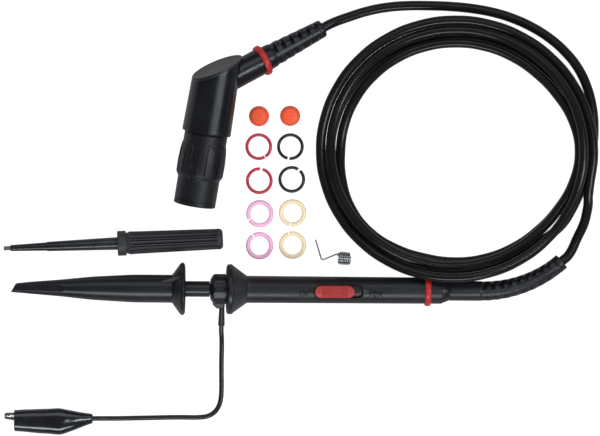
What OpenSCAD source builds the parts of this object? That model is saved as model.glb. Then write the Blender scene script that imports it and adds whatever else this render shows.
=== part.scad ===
// Switchable 1X / 10X oscilloscope probe with spring hook, ground lead, coiled cable,
// angled bayonet connector and its loose kit, laid out on a flat table. Millimetres.

/* [Clearances] */
// Radial gap of parts that turn or slide on each other
run_gap = 0.1; // [0.05:0.01:0.15]
// Gap between the faces of parts that move apart
face_gap = 0.2; // [0.1:0.05:0.4]
// Gap round small inner parts
inner_gap = 0.15; // [0.1:0.05:0.3]

/* [Probe barrel] */
// Outer diameter of the barrel at the guard
barrel_d = 10; // [9:0.1:12]
// Outer diameter of the barrel at its tail
barrel_tail_d = 9.7; // [9:0.1:12]
// Length of the barrel behind the guard
barrel_len = 72; // [60:1:90]
// Wall of the barrel
barrel_wall = 1.1; // [0.8:0.1:1.6]
// Diameter of the finger guard
guard_d = 18.5; // [15:0.5:22]
// Thickness of the guard's rim
guard_rim = 2.7; // [1.5:0.1:3.5]
// Length of the cone from the rim to the barrel
guard_cone = 4.9; // [4:0.1:8]
// Turn of the probe seen from above
probe_yaw = -0.45; // [-2:0.05:2]

/* [Attenuation switch] */
// Length of the slider button
slider_len = 14.7; // [10:0.1:18]
// Width of the slider button
slider_w = 4.5; // [3.5:0.1:5.5]
// Travel of the slider
slider_travel = 3; // [2:0.1:4]
// Distance from the guard's rim to the slider button
slider_at = 32.4; // [28:0.1:40]
// Height of the button above the barrel
slider_rise = 0.7; // [0.4:0.1:1.2]
// Grip ribs on the button
slider_ribs = 14; // [6:1:20]
// Turn of the switch about the barrel
switch_roll = 8; // [0:1:20]

/* [Nose] */
// Diameter of the insulating nose tube
nose_d = 3.8; // [3.4:0.1:4.2]
// Length of the nose tube ahead of the guard's rim
nose_len = 25; // [20:0.5:30]
// Diameter of the tip pin
tip_d = 1; // [0.8:0.05:1.2]
// Length of the bare tip pin
tip_len = 5.5; // [4:0.5:8]
// Diameter of the ground ferrule
ferrule_d = 5; // [4.6:0.1:5.6]

/* [Hook tip] */
// Diameter of the hook sleeve
sleeve_d = 10.3; // [9:0.1:12]
// Length of the hook sleeve, tip to thumb flange
sleeve_len = 59.6; // [50:0.5:70]
// Diameter of the thumb flange
flange_d = 19.7; // [16:0.1:22]
// Height of the sleeve at its tip
sleeve_tip_h = 3.3; // [2.6:0.1:4]
// Length of the flat on the front of the sleeve
tip_flat_len = 19; // [12:0.5:24]
// Diameter of the core's tube behind the flange
core_d = 5.8; // [5.4:0.1:6.4]
// Travel of the sleeve
hook_travel = 8; // [5:0.5:8.5]
// Diameter of the hook wire
hook_wire_d = 0.8; // [0.6:0.05:1]

/* [Ground lead] */
// Diameter of the ground collar
collar_d = 11.2; // [9:0.1:13]
// Width of the ground collar
collar_w = 5.7; // [4:0.1:7]
// Diameter of the lead boot at its end
lead_boot_d = 2.5; // [2.2:0.1:3]
// Diameter of the lead boot where it meets the collar
boot_root_d = 1.9; // [1.6:0.1:2.2]
// Diameter of the ground wire
wire_d = 1.8; // [1.4:0.1:2.2]
// Droop of the lead boot below level
lead_droop = 25; // [10:1:35]

/* [Crocodile clip] */
// Length of the clip cover
clip_cover_len = 29; // [26:0.5:34]
// Wall of the clip cover
clip_wall = 0.6; // [0.4:0.05:0.8]
// Thickness of the jaws' sheet
jaw_sheet = 0.5; // [0.4:0.05:0.6]
// Width of the jaws
jaw_w = 3.2; // [2.6:0.1:3.8]
// Length of the jaws ahead of the pivot
jaw_len = 12.5; // [11:0.5:14]
// Diameter of the pivot
jaw_pin_d = 1.2; // [1:0.1:1.6]

/* [Cable] */
// Diameter of the cable
cable_d = 3.6; // [3:0.1:3.8]
// Half width of the coil to the first loop, along the probe
coil_rx = 47.4; // [42:0.2:50]
// Half width of the coil to the first loop, across the probe
coil_ry = 45.5; // [42:0.1:48]
// Distance from loop to loop
coil_pitch = 4.25; // [4.1:0.05:5]
// Height of a layer of loops
layer_h = 4.1; // [4.1:0.05:4.6]
// Turns of the coil
coil_turns = 3.9; // [3.8:0.05:4]

/* [Strain reliefs] */
// Diameter of the probe's relief at the barrel
probe_relief_d = 7.3; // [6.5:0.1:8]
// Diameter of both reliefs at the cable
relief_end_d = 6.2; // [5.4:0.1:6.6]
// Plain length of the probe's relief
relief_plain_len = 12.2; // [8:0.1:16]
// Bend radius of the probe's relief
relief_bend_r = 44.5; // [40:0.5:60]
// Angle of its bend
relief_bend = 41.5; // [20:0.5:50]
// Diameter of the connector's relief at the arm
arm_relief_d = 9.3; // [8:0.1:10]
// Length of the connector's relief
arm_relief_len = 24.6; // [22:0.1:32]
// Width of a slot
slot_w = 1.5; // [1:0.1:2]
// Slots of the probe's relief
probe_slots = 9; // [6:1:10]
// Slots of the connector's relief
arm_slots = 6; // [4:1:7]

/* [Connector housing] */
// Diameter of the housing at the grip sleeve
housing_d = 18.1; // [17:0.1:20]
// Diameter of the housing at its top
housing_top_d = 17; // [16:0.1:20]
// Height of the middle of the slanted end above the mouth
housing_top = 52; // [48:0.5:58]
// Slant of the end
end_slant = 32; // [20:1:40]
// Diameter of the arm
arm_d = 9.9; // [9:0.1:11]
// Angle from the housing's axis to the arm
arm_angle = 55; // [45:1:75]
// Height of the arm's root above the mouth
elbow_h = 44.4; // [42:0.2:46]
// Length of the arm to its marker ring
arm_len = 20.8; // [17:0.1:24]
// Wall of the housing
housing_wall = 1.6; // [1.2:0.1:2]
// Diameter of the trimmer's access hole
trim_hole_d = 3; // [2.4:0.1:3.6]

/* [Bayonet coupling] */
// Diameter of the grip sleeve at its mouth
grip_d = 15.5; // [15:0.1:17]
// Diameter over the grip panels
grip_panel_d = 17.2; // [16.5:0.1:19]
// Length of the grip sleeve
grip_len = 26.9; // [24:0.1:30]
// Length of the plain collar at the mouth
mouth_len = 10.2; // [8:0.1:12]
// Number of grip panels
grip_panels = 6; // [4:1:8]
// Bore of the bayonet shell
bayonet_bore_d = 9.8; // [9.7:0.05:10.2]
// Diameter of the centre pin
centre_pin_d = 1.35; // [1.3:0.01:1.4]

/* [Connector pose] */
// Heading of the connector's axis, mouth to top, from above
connector_heading = 80.4; // [75:0.1:90]
// Rise of the axis towards the top
connector_rise = 7; // [4:0.5:9]
// Roll of the arm towards the table
connector_roll = 20.5; // [14:0.5:24]

/* [Marker rings] */
// Width of a fitted marker ring
band_w = 2.3; // [2:0.1:3.5]
// Thickness of a fitted marker ring
band_t = 0.9; // [0.6:0.1:1.2]
// Outer diameter of the red and black loose rings
dark_ring_d = 9.8; // [9:0.1:11]
// Section of the red and black loose rings
dark_ring_wire = 1.1; // [0.8:0.05:1.4]
// Outer diameter of the pink and cream loose rings
pale_ring_d = 10.1; // [9:0.1:11]
// Section of the pink and cream loose rings
pale_ring_wire = 1.6; // [1.2:0.05:1.9]
// Opening of a loose ring, in degrees
ring_opening = 26; // [15:1:40]

/* [Loose kit] */
// Diameter of a spare cap
cap_d = 7.4; // [6.5:0.1:8.5]
// Height of a spare cap
cap_h = 4.2; // [3.5:0.1:5]
// Length of the trimming tool's handle
handle_len = 36; // [30:0.5:42]
// Diameter of the handle at its collar end
handle_d = 8.6; // [7:0.1:10]
// Diameter of the tool's collar
tool_collar_d = 9.2; // [8:0.1:11]
// Flutes of the handle
handle_flutes = 12; // [8:1:16]
// Length of the tool's shaft
shaft_len = 39.5; // [34:0.5:46]
// Width of the tool's blade
blade_w = 1.6; // [1.2:0.1:2]
// Diameter of the ground spring
ground_spring_d = 5; // [4.6:0.1:5.6]
// Wire of the ground spring
ground_spring_wire = 0.5; // [0.4:0.05:0.6]
// Turns of the ground spring
ground_spring_turns = 4; // [3:1:6]

/* [Hidden] */
$fn = 48;

tiny = 0.01;
// Gap of inner parts that are pressed or glued into each other
press_gap = 0.02;
black = "#1c1c1f";
red = "#c8322f";
steel = "#b9bcc0";
brass = "#c9a85c";

// Turning a point about y and z, for routes that start on a tilted piece
function turn_y(p, a) = [p.x * cos(a) + p.z * sin(a), p.y, p.z * cos(a) - p.x * sin(a)];
function turn_z(p, a) = [p.x * cos(a) - p.y * sin(a), p.x * sin(a) + p.y * cos(a), p.z];

// Probe frame: z runs from the guard's rim to the tail, x points up, z = 0 at the rim's front.
guard_x = -21.8;
guard_y = -26.9;
ring_at = 74.3;
rim_edge = 0.6;
band_edge = 0.5;
band_gap = 0.02;
tail_ring_d = barrel_tail_d + 2 * (band_t + band_gap);
rim_rests_at = guard_rim - rim_edge;
ring_rests_at = ring_at + band_w / 2 - band_edge;
probe_pitch = atan((guard_d - tail_ring_d) / 2 / (ring_rests_at - rim_rests_at));
probe_place = [guard_x, guard_y, guard_d / 2 * cos(probe_pitch) + rim_rests_at * sin(probe_pitch)];
module in_probe() {
    translate(probe_place) rotate([0, 0, probe_yaw]) rotate([0, 90 + probe_pitch, 0])
        rotate([0, 0, 180]) children();
}
function probe_to_world(p) =
    probe_place + turn_z(turn_y([-p.x, -p.y, p.z], 90 + probe_pitch), probe_yaw);

// Places along the probe's axis
guard_end = guard_rim + guard_cone;
barrel_end = guard_end + barrel_len;
collar_front = -face_gap - collar_w;
core_back = collar_front - face_gap;
core_shows = 9;
nose_front = -nose_len;
tip_front = nose_front - tip_len;

// Places along the hook sleeve, from its tip
flange_t = 4.65;
flange_back = sleeve_len + flange_t;
sleeve_front = core_back - core_shows - flange_back;
spring_seat = sleeve_len - 35.6;
spring_bore_r = 2.6;
core_bore_from = sleeve_len - 17.6;
core_shoulder = core_bore_from + hook_travel + 1;
core_end = core_back - sleeve_front;
rod_from = spring_seat + hook_travel + 0.8;
nose_at = nose_front - sleeve_front - face_gap;
socket_r = 1;
socket_from = tip_front - sleeve_front - 1.2;
hook_slot_w = hook_wire_d + 0.5;

// ---------- probe head ----------
module barrel_shell() {
    spigot_r = barrel_d / 2 - barrel_wall;
    color(black) in_probe()
        difference() {
            translate([0, 0, guard_end]) cylinder(r1 = barrel_d / 2, r2 = barrel_tail_d / 2, h = barrel_len);
            translate([0, 0, guard_end - 1]) cylinder(r = spigot_r, h = barrel_len + 2);
            rotate([0, 0, switch_roll]) translate([0, 0, slider_at]) switch_slot();
        }
}

// Stadium slot through the top of the barrel, open upwards
module switch_slot() {
    slot_r = slider_w / 2 + inner_gap;
    run = slider_len + slider_travel - slider_w;
    translate([0, 0, slider_w / 2]) rotate([0, 90, 0]) {
        cylinder(r = slot_r, h = barrel_d);
        translate([-run, 0, 0]) cylinder(r = slot_r, h = barrel_d);
        translate([-run, -slot_r, 0]) cube([run, 2 * slot_r, barrel_d]);
    }
}

module front_guard() {
    spigot_r = barrel_d / 2 - barrel_wall - press_gap;
    color(black) in_probe()
        rotate_extrude() polygon([
            [ferrule_d / 2, 0], [guard_d / 2 - rim_edge, 0], [guard_d / 2, rim_edge],
            [guard_d / 2, guard_rim - rim_edge], [guard_d / 2 - rim_edge, guard_rim],
            [barrel_d / 2 + 1.2, guard_end - 1.6], [barrel_d / 2, guard_end],
            [spigot_r, guard_end], [spigot_r, guard_end + 6], [ferrule_d / 2, guard_end + 6]]);
}

module ground_ferrule() {
    color(steel) in_probe()
        translate([0, 0, collar_front]) difference() {
            cylinder(d = ferrule_d, h = collar_w + face_gap + guard_end + 6);
            translate([0, 0, -1]) cylinder(d = nose_d, h = collar_w + guard_end + 10);
        }
}

module nose_tube() {
    color(black) in_probe()
        translate([0, 0, nose_front]) difference() {
            cylinder(d = nose_d, h = nose_len + guard_end + 6);
            translate([0, 0, 6]) cylinder(d = 2.4, h = nose_len + guard_end + 6);
            translate([0, 0, -1]) cylinder(d = tip_d, h = 8);
        }
}

module tip_pin() {
    color(steel) in_probe() {
        translate([0, 0, tip_front + 1]) cylinder(d = tip_d, h = tip_len - 1 + 7);
        translate([0, 0, tip_front]) cylinder(d1 = 0.3, d2 = tip_d, h = 1);
    }
}

module tip_resistor() {
    resistor_len = 8;
    color("#3f6f8f") in_probe()
        translate([0, 0, nose_front + 7]) {
            cylinder(d = 2.1, h = resistor_len);
            translate([0, 0, resistor_len])
                cylinder(d = 0.6, h = nose_len - 7 - resistor_len + guard_end + 6);
        }
}

module tip_capacitor() {
    color("#c08a3e") in_probe()
        translate([-1.2, -1.5, guard_end + 6]) cube([2.4, 3, 2.5]);
}

// Board in the barrel, level with the switch
board_x = barrel_d / 2 - 3.6;
board_from = guard_end + 8.6;
relief_spigot = 6;
module switch_board() {
    color("#2f6b45") in_probe() rotate([0, 0, switch_roll])
        translate([board_x - 0.8, -3, board_from])
            cube([0.8, 6, barrel_end - relief_spigot - 1 - board_from]);
}

module fixed_contacts() {
    color(brass) in_probe() rotate([0, 0, switch_roll])
        for (at = [3, slider_len - 1])
            translate([board_x, -1.5, slider_at + at]) cube([0.3, 3, 2.4]);
}

module moving_contact() {
    color(brass) in_probe() rotate([0, 0, switch_roll])
        translate([board_x + 0.3 + inner_gap, -1.2, slider_at + 4]) cube([0.4, 2.4, slider_len - 6.5]);
}

// Button whose top follows the barrel; its foot rides on the moving contact
module switch_slider() {
    foot = board_x + 0.7 + inner_gap;
    top = barrel_d / 2 + slider_rise;
    color(red) in_probe() rotate([0, 0, switch_roll])
        translate([0, 0, slider_at]) difference() {
            intersection() {
                translate([foot, 0, slider_w / 2]) rotate([0, 90, 0])
                    slider_pad(top - foot + 0.5);
                translate([0, 0, -1]) cylinder(r = top, h = slider_len + 2);
            }
            for (i = [0 : slider_ribs - 1])
                translate([0, 0, slider_len / 2 + (i - (slider_ribs - 1) / 2) * 0.68 - 0.15])
                    difference() {
                        cylinder(r = top + 1, h = 0.3);
                        translate([0, 0, -1]) cylinder(r = top - 0.2, h = 3);
                    }
        }
}

module slider_pad(height) {
    run = slider_len - slider_w;
    cylinder(d = slider_w, h = height);
    translate([-run, 0, 0]) cylinder(d = slider_w, h = height);
    translate([-run, -slider_w / 2, 0]) cube([run, slider_w, height]);
}

module barrel_marker_ring() {
    color(red) in_probe() translate([0, 0, ring_at - band_w / 2]) marker_band(barrel_tail_d / 2 + band_gap);
}

module marker_band(inner_r) {
    rotate_extrude() polygon([
        [inner_r, 0], [inner_r + band_t * 0.6, 0], [inner_r + band_t, band_edge],
        [inner_r + band_t, band_w - band_edge], [inner_r + band_t * 0.6, band_w], [inner_r, band_w]]);
}

// Ribs joined by two spines over a thin core, straight first and then bent to one side
relief_step = 2.6;
bend_from = barrel_end + relief_step + relief_plain_len;
relief_pitch = relief_bend_r * relief_bend * PI / 180 / (probe_slots + 0.9);
relief_core_r = cable_d / 2 + 0.6;
spine_w = 2.4;
spine_turn = 12;
module probe_relief() {
    spigot_r = barrel_tail_d / 2 - barrel_wall - 0.1;
    color(black) in_probe() {
        translate([0, 0, barrel_end - relief_spigot]) cylinder(r = spigot_r, h = relief_spigot + tiny);
        translate([0, 0, barrel_end])
            cylinder(d1 = barrel_tail_d - 0.4, d2 = probe_relief_d, h = relief_step);
        translate([0, 0, barrel_end + relief_step]) cylinder(d = probe_relief_d, h = relief_plain_len);
        bent_relief();
    }
}

function rib_d(i) = probe_relief_d + (relief_end_d - probe_relief_d) * i / probe_slots;
module bent_relief() {
    degrees_per_mm = 180 / PI / relief_bend_r;
    pitch_angle = relief_pitch * degrees_per_mm;
    slot_angle = slot_w * degrees_per_mm;
    bend_sector(0, relief_bend) circle(r = relief_core_r, $fn = 32);
    for (i = [1 : probe_slots]) {
        bend_sector((i - 1) * pitch_angle + slot_angle, i * pitch_angle) circle(d = rib_d(i), $fn = 32);
        bend_sector((i - 1) * pitch_angle - tiny, (i - 1) * pitch_angle + slot_angle + tiny)
            spine(rib_d(i) - 0.1);
    }
    bend_sector(probe_slots * pitch_angle - tiny, relief_bend) circle(d = relief_end_d, $fn = 32);
}

// Section swept along the bend, which curves towards -y, from one angle to another
module bend_sector(from, to) {
    translate([0, -relief_bend_r, bend_from]) rotate([90, 0, 90]) rotate([0, 0, from])
        rotate_extrude(angle = to - from) translate([relief_bend_r, 0]) children();
}

module spine(d) {
    intersection() {
        circle(d = d, $fn = 32);
        rotate(-spine_turn) square([spine_w, 2 * d], center = true);
    }
}

// Middle of the relief's end, or a point beyond it along the cable
function bend_end(beyond) = [0,
    relief_bend_r * (cos(relief_bend) - 1) - beyond * sin(relief_bend),
    bend_from + relief_bend_r * sin(relief_bend) + beyond * cos(relief_bend)];

// ---------- hook tip ----------
tip_slant = 30;
// Distances along the sleeve start at its tip.
module in_sleeve() { in_probe() translate([0, 0, sleeve_front]) children(); }

module hook_sleeve() {
    color(black) in_sleeve() difference() {
        union() {
            sleeve_body();
            for (side = [60, 240]) rotate([0, 0, side]) thumb_rib();
        }
        sleeve_bores();
        translate([-sleeve_d, -hook_slot_w / 2, -1]) cube([sleeve_d + 0.6, hook_slot_w, 5.2]);
        slanted_tip();
        tip_flat();
    }
}

module sleeve_body() {
    rim = flange_d / 2;
    root = sleeve_d / 2;
    rotate_extrude() polygon([
        [0, 0], [sleeve_tip_h / 2, 0], [sleeve_d * 0.31, 19], [sleeve_d * 0.42, 30],
        [root, 45], [root, sleeve_len], [root + 0.5, sleeve_len + 0.9],
        [root + 1.5, sleeve_len + 1.7], [root + 2.8, sleeve_len + 2.4],
        [rim - 0.6, sleeve_len + 3], [rim - 0.1, sleeve_len + 3.5], [rim, sleeve_len + 3.9],
        [rim - 0.3, sleeve_len + 4.3], [rim - 1.2, flange_back - 0.15],
        [rim - 3, flange_back], [0, flange_back]]);
}

// Stepped bore: wire, then spring, then the core's tube
module sleeve_bores() {
    translate([0, 0, -1]) cylinder(d = hook_wire_d + 2 * inner_gap + 0.3, h = spring_seat + 2);
    translate([0, 0, spring_seat]) cylinder(r = spring_bore_r, h = core_bore_from - spring_seat + 1);
    translate([0, 0, core_bore_from]) cylinder(d = core_d + 2 * inner_gap, h = flange_back);
}

module slanted_tip() {
    translate([0, sleeve_tip_h / 2, 0]) rotate([-tip_slant, 0, 0])
        translate([-sleeve_d, -2 * sleeve_d, -sleeve_d]) cube([2 * sleeve_d, 4 * sleeve_d, sleeve_d]);
}

// Shallow flat along the front, on the side that faces up
module tip_flat() {
    translate([sleeve_tip_h / 2 - 0.35, -sleeve_d, -1]) rotate([0, 4.6, 0])
        cube([sleeve_d, 2 * sleeve_d, tip_flat_len + 1]);
}

module thumb_rib() {
    rotate([90, 0, 0]) translate([0, 0, -0.35]) linear_extrude(0.7)
        polygon([[sleeve_d / 2 - 0.5, sleeve_len - 5], [sleeve_d / 2 + 1.9, sleeve_len + 1.9],
            [sleeve_d / 2 - 0.5, sleeve_len + 1.9]]);
}

module hook_core() {
    tube_r = core_d / 2;
    rod_r = 1.5;
    color(black) in_sleeve()
        rotate_extrude() polygon([
            [hook_wire_d / 2, rod_from], [rod_r, rod_from], [rod_r, core_shoulder], [tube_r, core_shoulder],
            [tube_r, core_end], [nose_d / 2 + run_gap, core_end], [nose_d / 2 + run_gap, nose_at],
            [socket_r, nose_at], [socket_r, socket_from], [hook_wire_d / 2, socket_from]]);
}

module tip_socket() {
    color(brass) in_sleeve() translate([0, 0, socket_from]) difference() {
        cylinder(r = socket_r, h = nose_at - socket_from - 0.2);
        translate([0, 0, 1]) cylinder(d = tip_d + run_gap, h = nose_at - socket_from);
    }
}

module hook_wire() {
    bend_r = 0.45;
    hook_at = 2.2;
    color(steel) in_sleeve() {
        translate([0, 0, hook_at]) cylinder(d = hook_wire_d, h = socket_from - hook_at);
        translate([-bend_r, 0, hook_at]) rotate([90, 0, 180]) rotate_extrude(angle = -180)
            translate([bend_r, 0]) circle(d = hook_wire_d);
        translate([-2 * bend_r, 0, hook_at]) cylinder(d = hook_wire_d, h = 1.1);
    }
}

module hook_spring() {
    color(steel) in_sleeve() translate([0, 0, spring_seat + 0.1]) difference() {
        cylinder(r = spring_bore_r - inner_gap, h = core_shoulder - spring_seat - 0.2);
        translate([0, 0, -1]) cylinder(r = spring_bore_r - inner_gap - 0.5, h = core_shoulder);
    }
}

// ---------- ground lead ----------
contact_r = ferrule_d / 2 + run_gap + 0.8;
boss_len = 1.4;
boss_w = 4.4;
boot_len = 7.7;
boot_z = collar_front + collar_w - 1.3;
contact_from = collar_front + 0.8;
module in_lead() { in_probe() rotate([0, 0, lead_droop]) children(); }

module ground_collar() {
    r = collar_d / 2;
    boss_to = r + boss_len;
    lip_r = ferrule_d / 2 + run_gap + 0.1;
    color(black) in_lead() difference() {
        union() {
            rotate_extrude() polygon([
                [lip_r, collar_front], [contact_r + 0.3, collar_front], [r - 0.4, collar_front + 1],
                [r, collar_front + 1.4], [r, -face_gap - 0.3], [r - 0.3, -face_gap], [lip_r, -face_gap]]);
            translate([-boss_w / 2, 0, 0]) rotate([90, 0, 90]) linear_extrude(boss_w)
                polygon([[0, collar_front + 1], [r, collar_front + 1], [boss_to, boot_z - 2.1],
                    [boss_to, -face_gap - 0.3], [0, -face_gap - 0.3]]);
        }
        translate([0, 0, -collar_w - 1]) cylinder(r = lip_r, h = collar_w + 2);
        translate([0, 0, contact_from]) cylinder(r = contact_r, h = collar_w + 2);
        for (i = [1 : 7]) rotate([0, 0, i * 45 + 90])
            translate([r - 0.3, -1.2, collar_front - 1]) cube([2, 2.4, collar_w + 2]);
    }
}

module ground_contact_ring() {
    color(steel) in_lead() translate([0, 0, contact_from]) difference() {
        cylinder(r = contact_r, h = -face_gap - contact_from);
        translate([0, 0, -1]) cylinder(d = ferrule_d + 2 * run_gap, h = collar_w + 2);
    }
}

module lead_boot() {
    color(black) in_lead() translate([0, collar_d / 2 + boss_len, boot_z]) rotate([-90, 0, 0])
        cylinder(d1 = boot_root_d, d2 = lead_boot_d, h = boot_len);
}

// Wire from the boot's end down to the table, round a bend and into the clip cover
function lead_point(y) = probe_to_world([-sin(lead_droop) * y, cos(lead_droop) * y, boot_z]);
boot_end = collar_d / 2 + boss_len + boot_len;
clip_x = -71.3;
clip_y = -74.8;
wire_route = concat(
    [lead_point(boot_end), lead_point(boot_end + 1.2 * wire_d)],
    [[-23.6, -45.4, 1.3], [-23.6, -49.4, 0.95], [-23.7, -53.8, 0.92], [-23.7, -58.8, 0.92], [-23.7, -63.8, 0.92],
    [-23.9, -67.2, 0.92], [-24.6, -70, 0.92], [-26.2, -72.4, 0.92], [-28.7, -73.9, 0.92],
    [-32.3, -74.4, 0.92], [-36.7, -74.4, 0.92], [-41.7, -74.4, 0.92], [-46.7, -74.5, 0.92], [-51.7, -74.6, 0.92],
    [-56.7, -74.7, 0.92], [-61.7, -74.8, 0.92], [-66.1, -74.8, 1.1]],
    [[clip_x + 1.5 * wire_d, clip_y, 1.6], [clip_x + 0.05, clip_y, 1.7]]);
module ground_wire() { color(black) tube(wire_route, wire_d, 8); }

// ---------- crocodile clip, laid on its side; x = 0 at the back of its cover ----------
module in_clip() { translate([clip_x, clip_y, 0]) children(); }

jaw_tip = clip_cover_len + 3.5;
pivot_x = jaw_len - jaw_tip;
pivot_y = -0.3;
jaw_y = 1;
jaw_z = 3.1;

// Stations of the cover: distance from its back, middle, height and thickness
cover_stations = [[0, 0, 3.4, 3.4], [6.2, -0.7, 6.7, 5.4], [11.8, -1.1, 10, 6.4],
    [clip_cover_len - 0.1, -0.7, 7.8, 6.2]];

module clip_cover() {
    color(black) in_clip() difference() {
        for (i = [0 : 2]) hull() {
            cover_station(cover_stations[i], 0);
            cover_station(cover_stations[i + 1], 0);
        }
        for (i = [0 : 2]) hull() {
            cover_station(cover_stations[i], i == 0 ? 1.5 : 0, clip_wall);
            cover_station(cover_stations[i + 1], i == 2 ? 0.2 : 0, clip_wall);
        }
    }
}

// Thin slice of a station's rounded outline, shrunk by the wall
module cover_station(station, shift, wall = 0) {
    x = -station[0] - shift;
    half_h = station[2] / 2 - wall;
    half_t = station[3] / 2 - wall;
    translate([x, station[1], station[3] / 2]) rotate([90, 0, -90])
        linear_extrude(0.1) polygon([for (a = [0 : 12 : 348])
            [half_h * soft_corner(cos(a)), half_t * soft_corner(sin(a))]]);
}

function soft_corner(v) = sign(v) * pow(abs(v), 0.55);

module clip_fixed_jaw() {
    outer = jaw_w / 2;
    color(steel) in_clip() translate([0, 0, jaw_z]) {
        for (side = [-outer, outer - jaw_sheet]) translate([0, 0, side]) linear_extrude(jaw_sheet)
            difference() {
                polygon(concat([[-jaw_tip, jaw_y], [-jaw_tip, jaw_y + 0.9], [-jaw_tip + 0.8, jaw_y + 1.2],
                    [-9, jaw_y + 1.2], [-9, jaw_y + 0.2], [pivot_x + 2, jaw_y + 0.1],
                    [pivot_x + 1.3, pivot_y - 1.1], [pivot_x - 1.3, pivot_y - 1.1], [pivot_x - 2, jaw_y]],
                    teeth(jaw_y, 0.35)));
                translate([pivot_x, pivot_y]) circle(d = jaw_pin_d);
            }
        translate([-jaw_tip + 0.8, jaw_y + 1.2 - jaw_sheet, -outer]) cube([jaw_tip - 9.8, jaw_sheet, jaw_w]);
        translate([-9 - jaw_sheet, -0.25, -0.5]) cube([jaw_sheet, jaw_y + 1.45, 1]);
        translate([-9 - jaw_sheet, -0.25, -0.5]) cube([4.6 + jaw_sheet, jaw_sheet, 1]);
    }
}

// Saw teeth along a closing edge, from the pivot side to the tip
function teeth(y, depth) = [for (i = [0 : 7]) each [[pivot_x - 3 - i, y + depth], [pivot_x - 3.5 - i, y]]];

module clip_moving_jaw() {
    outer = jaw_w / 2 - jaw_sheet - inner_gap;
    low = jaw_y - face_gap / 2;
    color(steel) in_clip() translate([0, 0, jaw_z]) {
        for (side = [-outer, outer - jaw_sheet]) translate([0, 0, side]) linear_extrude(jaw_sheet)
            difference() {
                union() {
                    polygon(concat([[-jaw_tip, low], [-jaw_tip, low - 0.8], [-jaw_tip + 0.8, low - 1.1],
                        [pivot_x - 1, pivot_y - 1.4], [pivot_x + 8.2, pivot_y - 4.2],
                        [pivot_x + 8.4, pivot_y - 3.6], [pivot_x + 1.2, pivot_y + 0.2],
                        [pivot_x - 2, low]], teeth(low - 0.35, 0.35)));
                    translate([pivot_x, pivot_y]) circle(r = 1.2);
                }
                translate([pivot_x, pivot_y]) circle(d = jaw_pin_d + run_gap);
            }
        translate([-jaw_tip + 0.8, low - 1.1, -outer]) cube([5, 0.4, 2 * outer]);
        translate([pivot_x + 5, pivot_y - 3.2, -outer]) rotate([0, 0, -17]) cube([3.2, 0.4, 2 * outer]);
    }
}

module clip_pivot() {
    color(steel) in_clip() translate([pivot_x, pivot_y, jaw_z - jaw_w / 2 - 0.2])
        cylinder(d = jaw_pin_d, h = jaw_w + 0.4);
}

module clip_spring() {
    half = jaw_w / 2 - 2 * jaw_sheet - inner_gap - 0.05;
    color(steel) in_clip() translate([pivot_x, pivot_y, jaw_z - half]) difference() {
        cylinder(d = jaw_pin_d + 1, h = 2 * half);
        translate([0, 0, -1]) cylinder(d = jaw_pin_d, h = 4);
    }
}

// ---------- cable ----------
function unit(v) = v / norm(v);
function along(path, i) = unit(path[min(i + 1, len(path) - 1)] - path[max(i - 1, 0)]);
function ring_at_point(p, dir, d, sides) =
    let (side = unit(cross(dir, [0, 0, 1])), up = cross(side, dir))
    [for (k = [0 : sides - 1]) let (a = 360 * (k + 0.5) / sides) p + d / 2 * (cos(a) * side + sin(a) * up)];

// Closed tube of triangles along a path, with flat ends
module tube(path, d, sides) {
    n = len(path);
    points = [for (i = [0 : n - 1]) each ring_at_point(path[i], along(path, i), d, sides)];
    walls = [for (i = [0 : n - 2], k = [0 : sides - 1])
        let (a = i * sides + k, b = i * sides + (k + 1) % sides)
        each [[a, b, a + sides], [b, b + sides, a + sides]]];
    first = [for (k = [1 : sides - 2]) [0, k + 1, k]];
    last = [for (k = [1 : sides - 2]) [for (v = [0, k, k + 1]) (n - 1) * sides + v]];
    polyhedron(points, concat(walls, first, last));
}

// Coil: spirals in on the lower layer, climbs while it turns back, spirals out on the upper one
loop_steps = 24;
coil_x = 62.4;
coil_y = 23.8;
coil_from = -45;
coil_back_at = 1.45;
coil_turn_soft = 0.06;
coil_squeeze = 0.7;
// Humps over the barrel and over the loops below: middle and half length in turns, height
hump_over_barrel = [3.125, 0.16, 6.2];
hump_over_loop = [2.88, 0.32, 4.4];
hump_over_first = [1.25, 0.17, 3.5];
hump_over_tuck = [2.27, 0.22, 4];
// The innermost strand swings outwards here, over the first loop
coil_tuck = [1.27, 0.12, 2];
function loops_in(t) = coil_back_at - sqrt(pow(t - coil_back_at, 2) + pow(coil_turn_soft, 2));
function ease(v) = let (c = min(1, max(0, v))) c * c * (3 - 2 * c);
function hump(t, at) = let (v = (t - at[0]) / at[1]) abs(v) < 1 ? at[2] * pow(cos(90 * v), 2) : 0;
function squeeze(a) = 1 - coil_squeeze * pow(max(0, cos(a)), 8);
function inward(t, a) = let (in = coil_pitch * loops_in(t))
    (in > 0 ? in * squeeze(a) : in) - hump(t, coil_tuck);
function coil_point(t) =
    let (a = coil_from - 360 * t, in = inward(t, a))
    [coil_x + (coil_rx - in) * cos(a), coil_y + (coil_ry - in) * sin(a),
        cable_d / 2 + layer_h * ease((t - coil_back_at) / 0.5 + 0.5)
            + hump(t, hump_over_barrel) + hump(t, hump_over_loop)
            + hump(t, hump_over_first) + hump(t, hump_over_tuck)];
coil_steps = round(coil_turns * loop_steps);
coil_loops = [for (i = [0 : coil_steps]) coil_point(i / loop_steps)];
coil_start = coil_loops[0] + cable_d * unit(coil_loops[0] - coil_loops[1]);
coil_end = coil_loops[coil_steps] + cable_d * unit(coil_loops[coil_steps] - coil_loops[coil_steps - 1]);
coil_route = concat([coil_start], coil_loops, [coil_end]);

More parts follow.
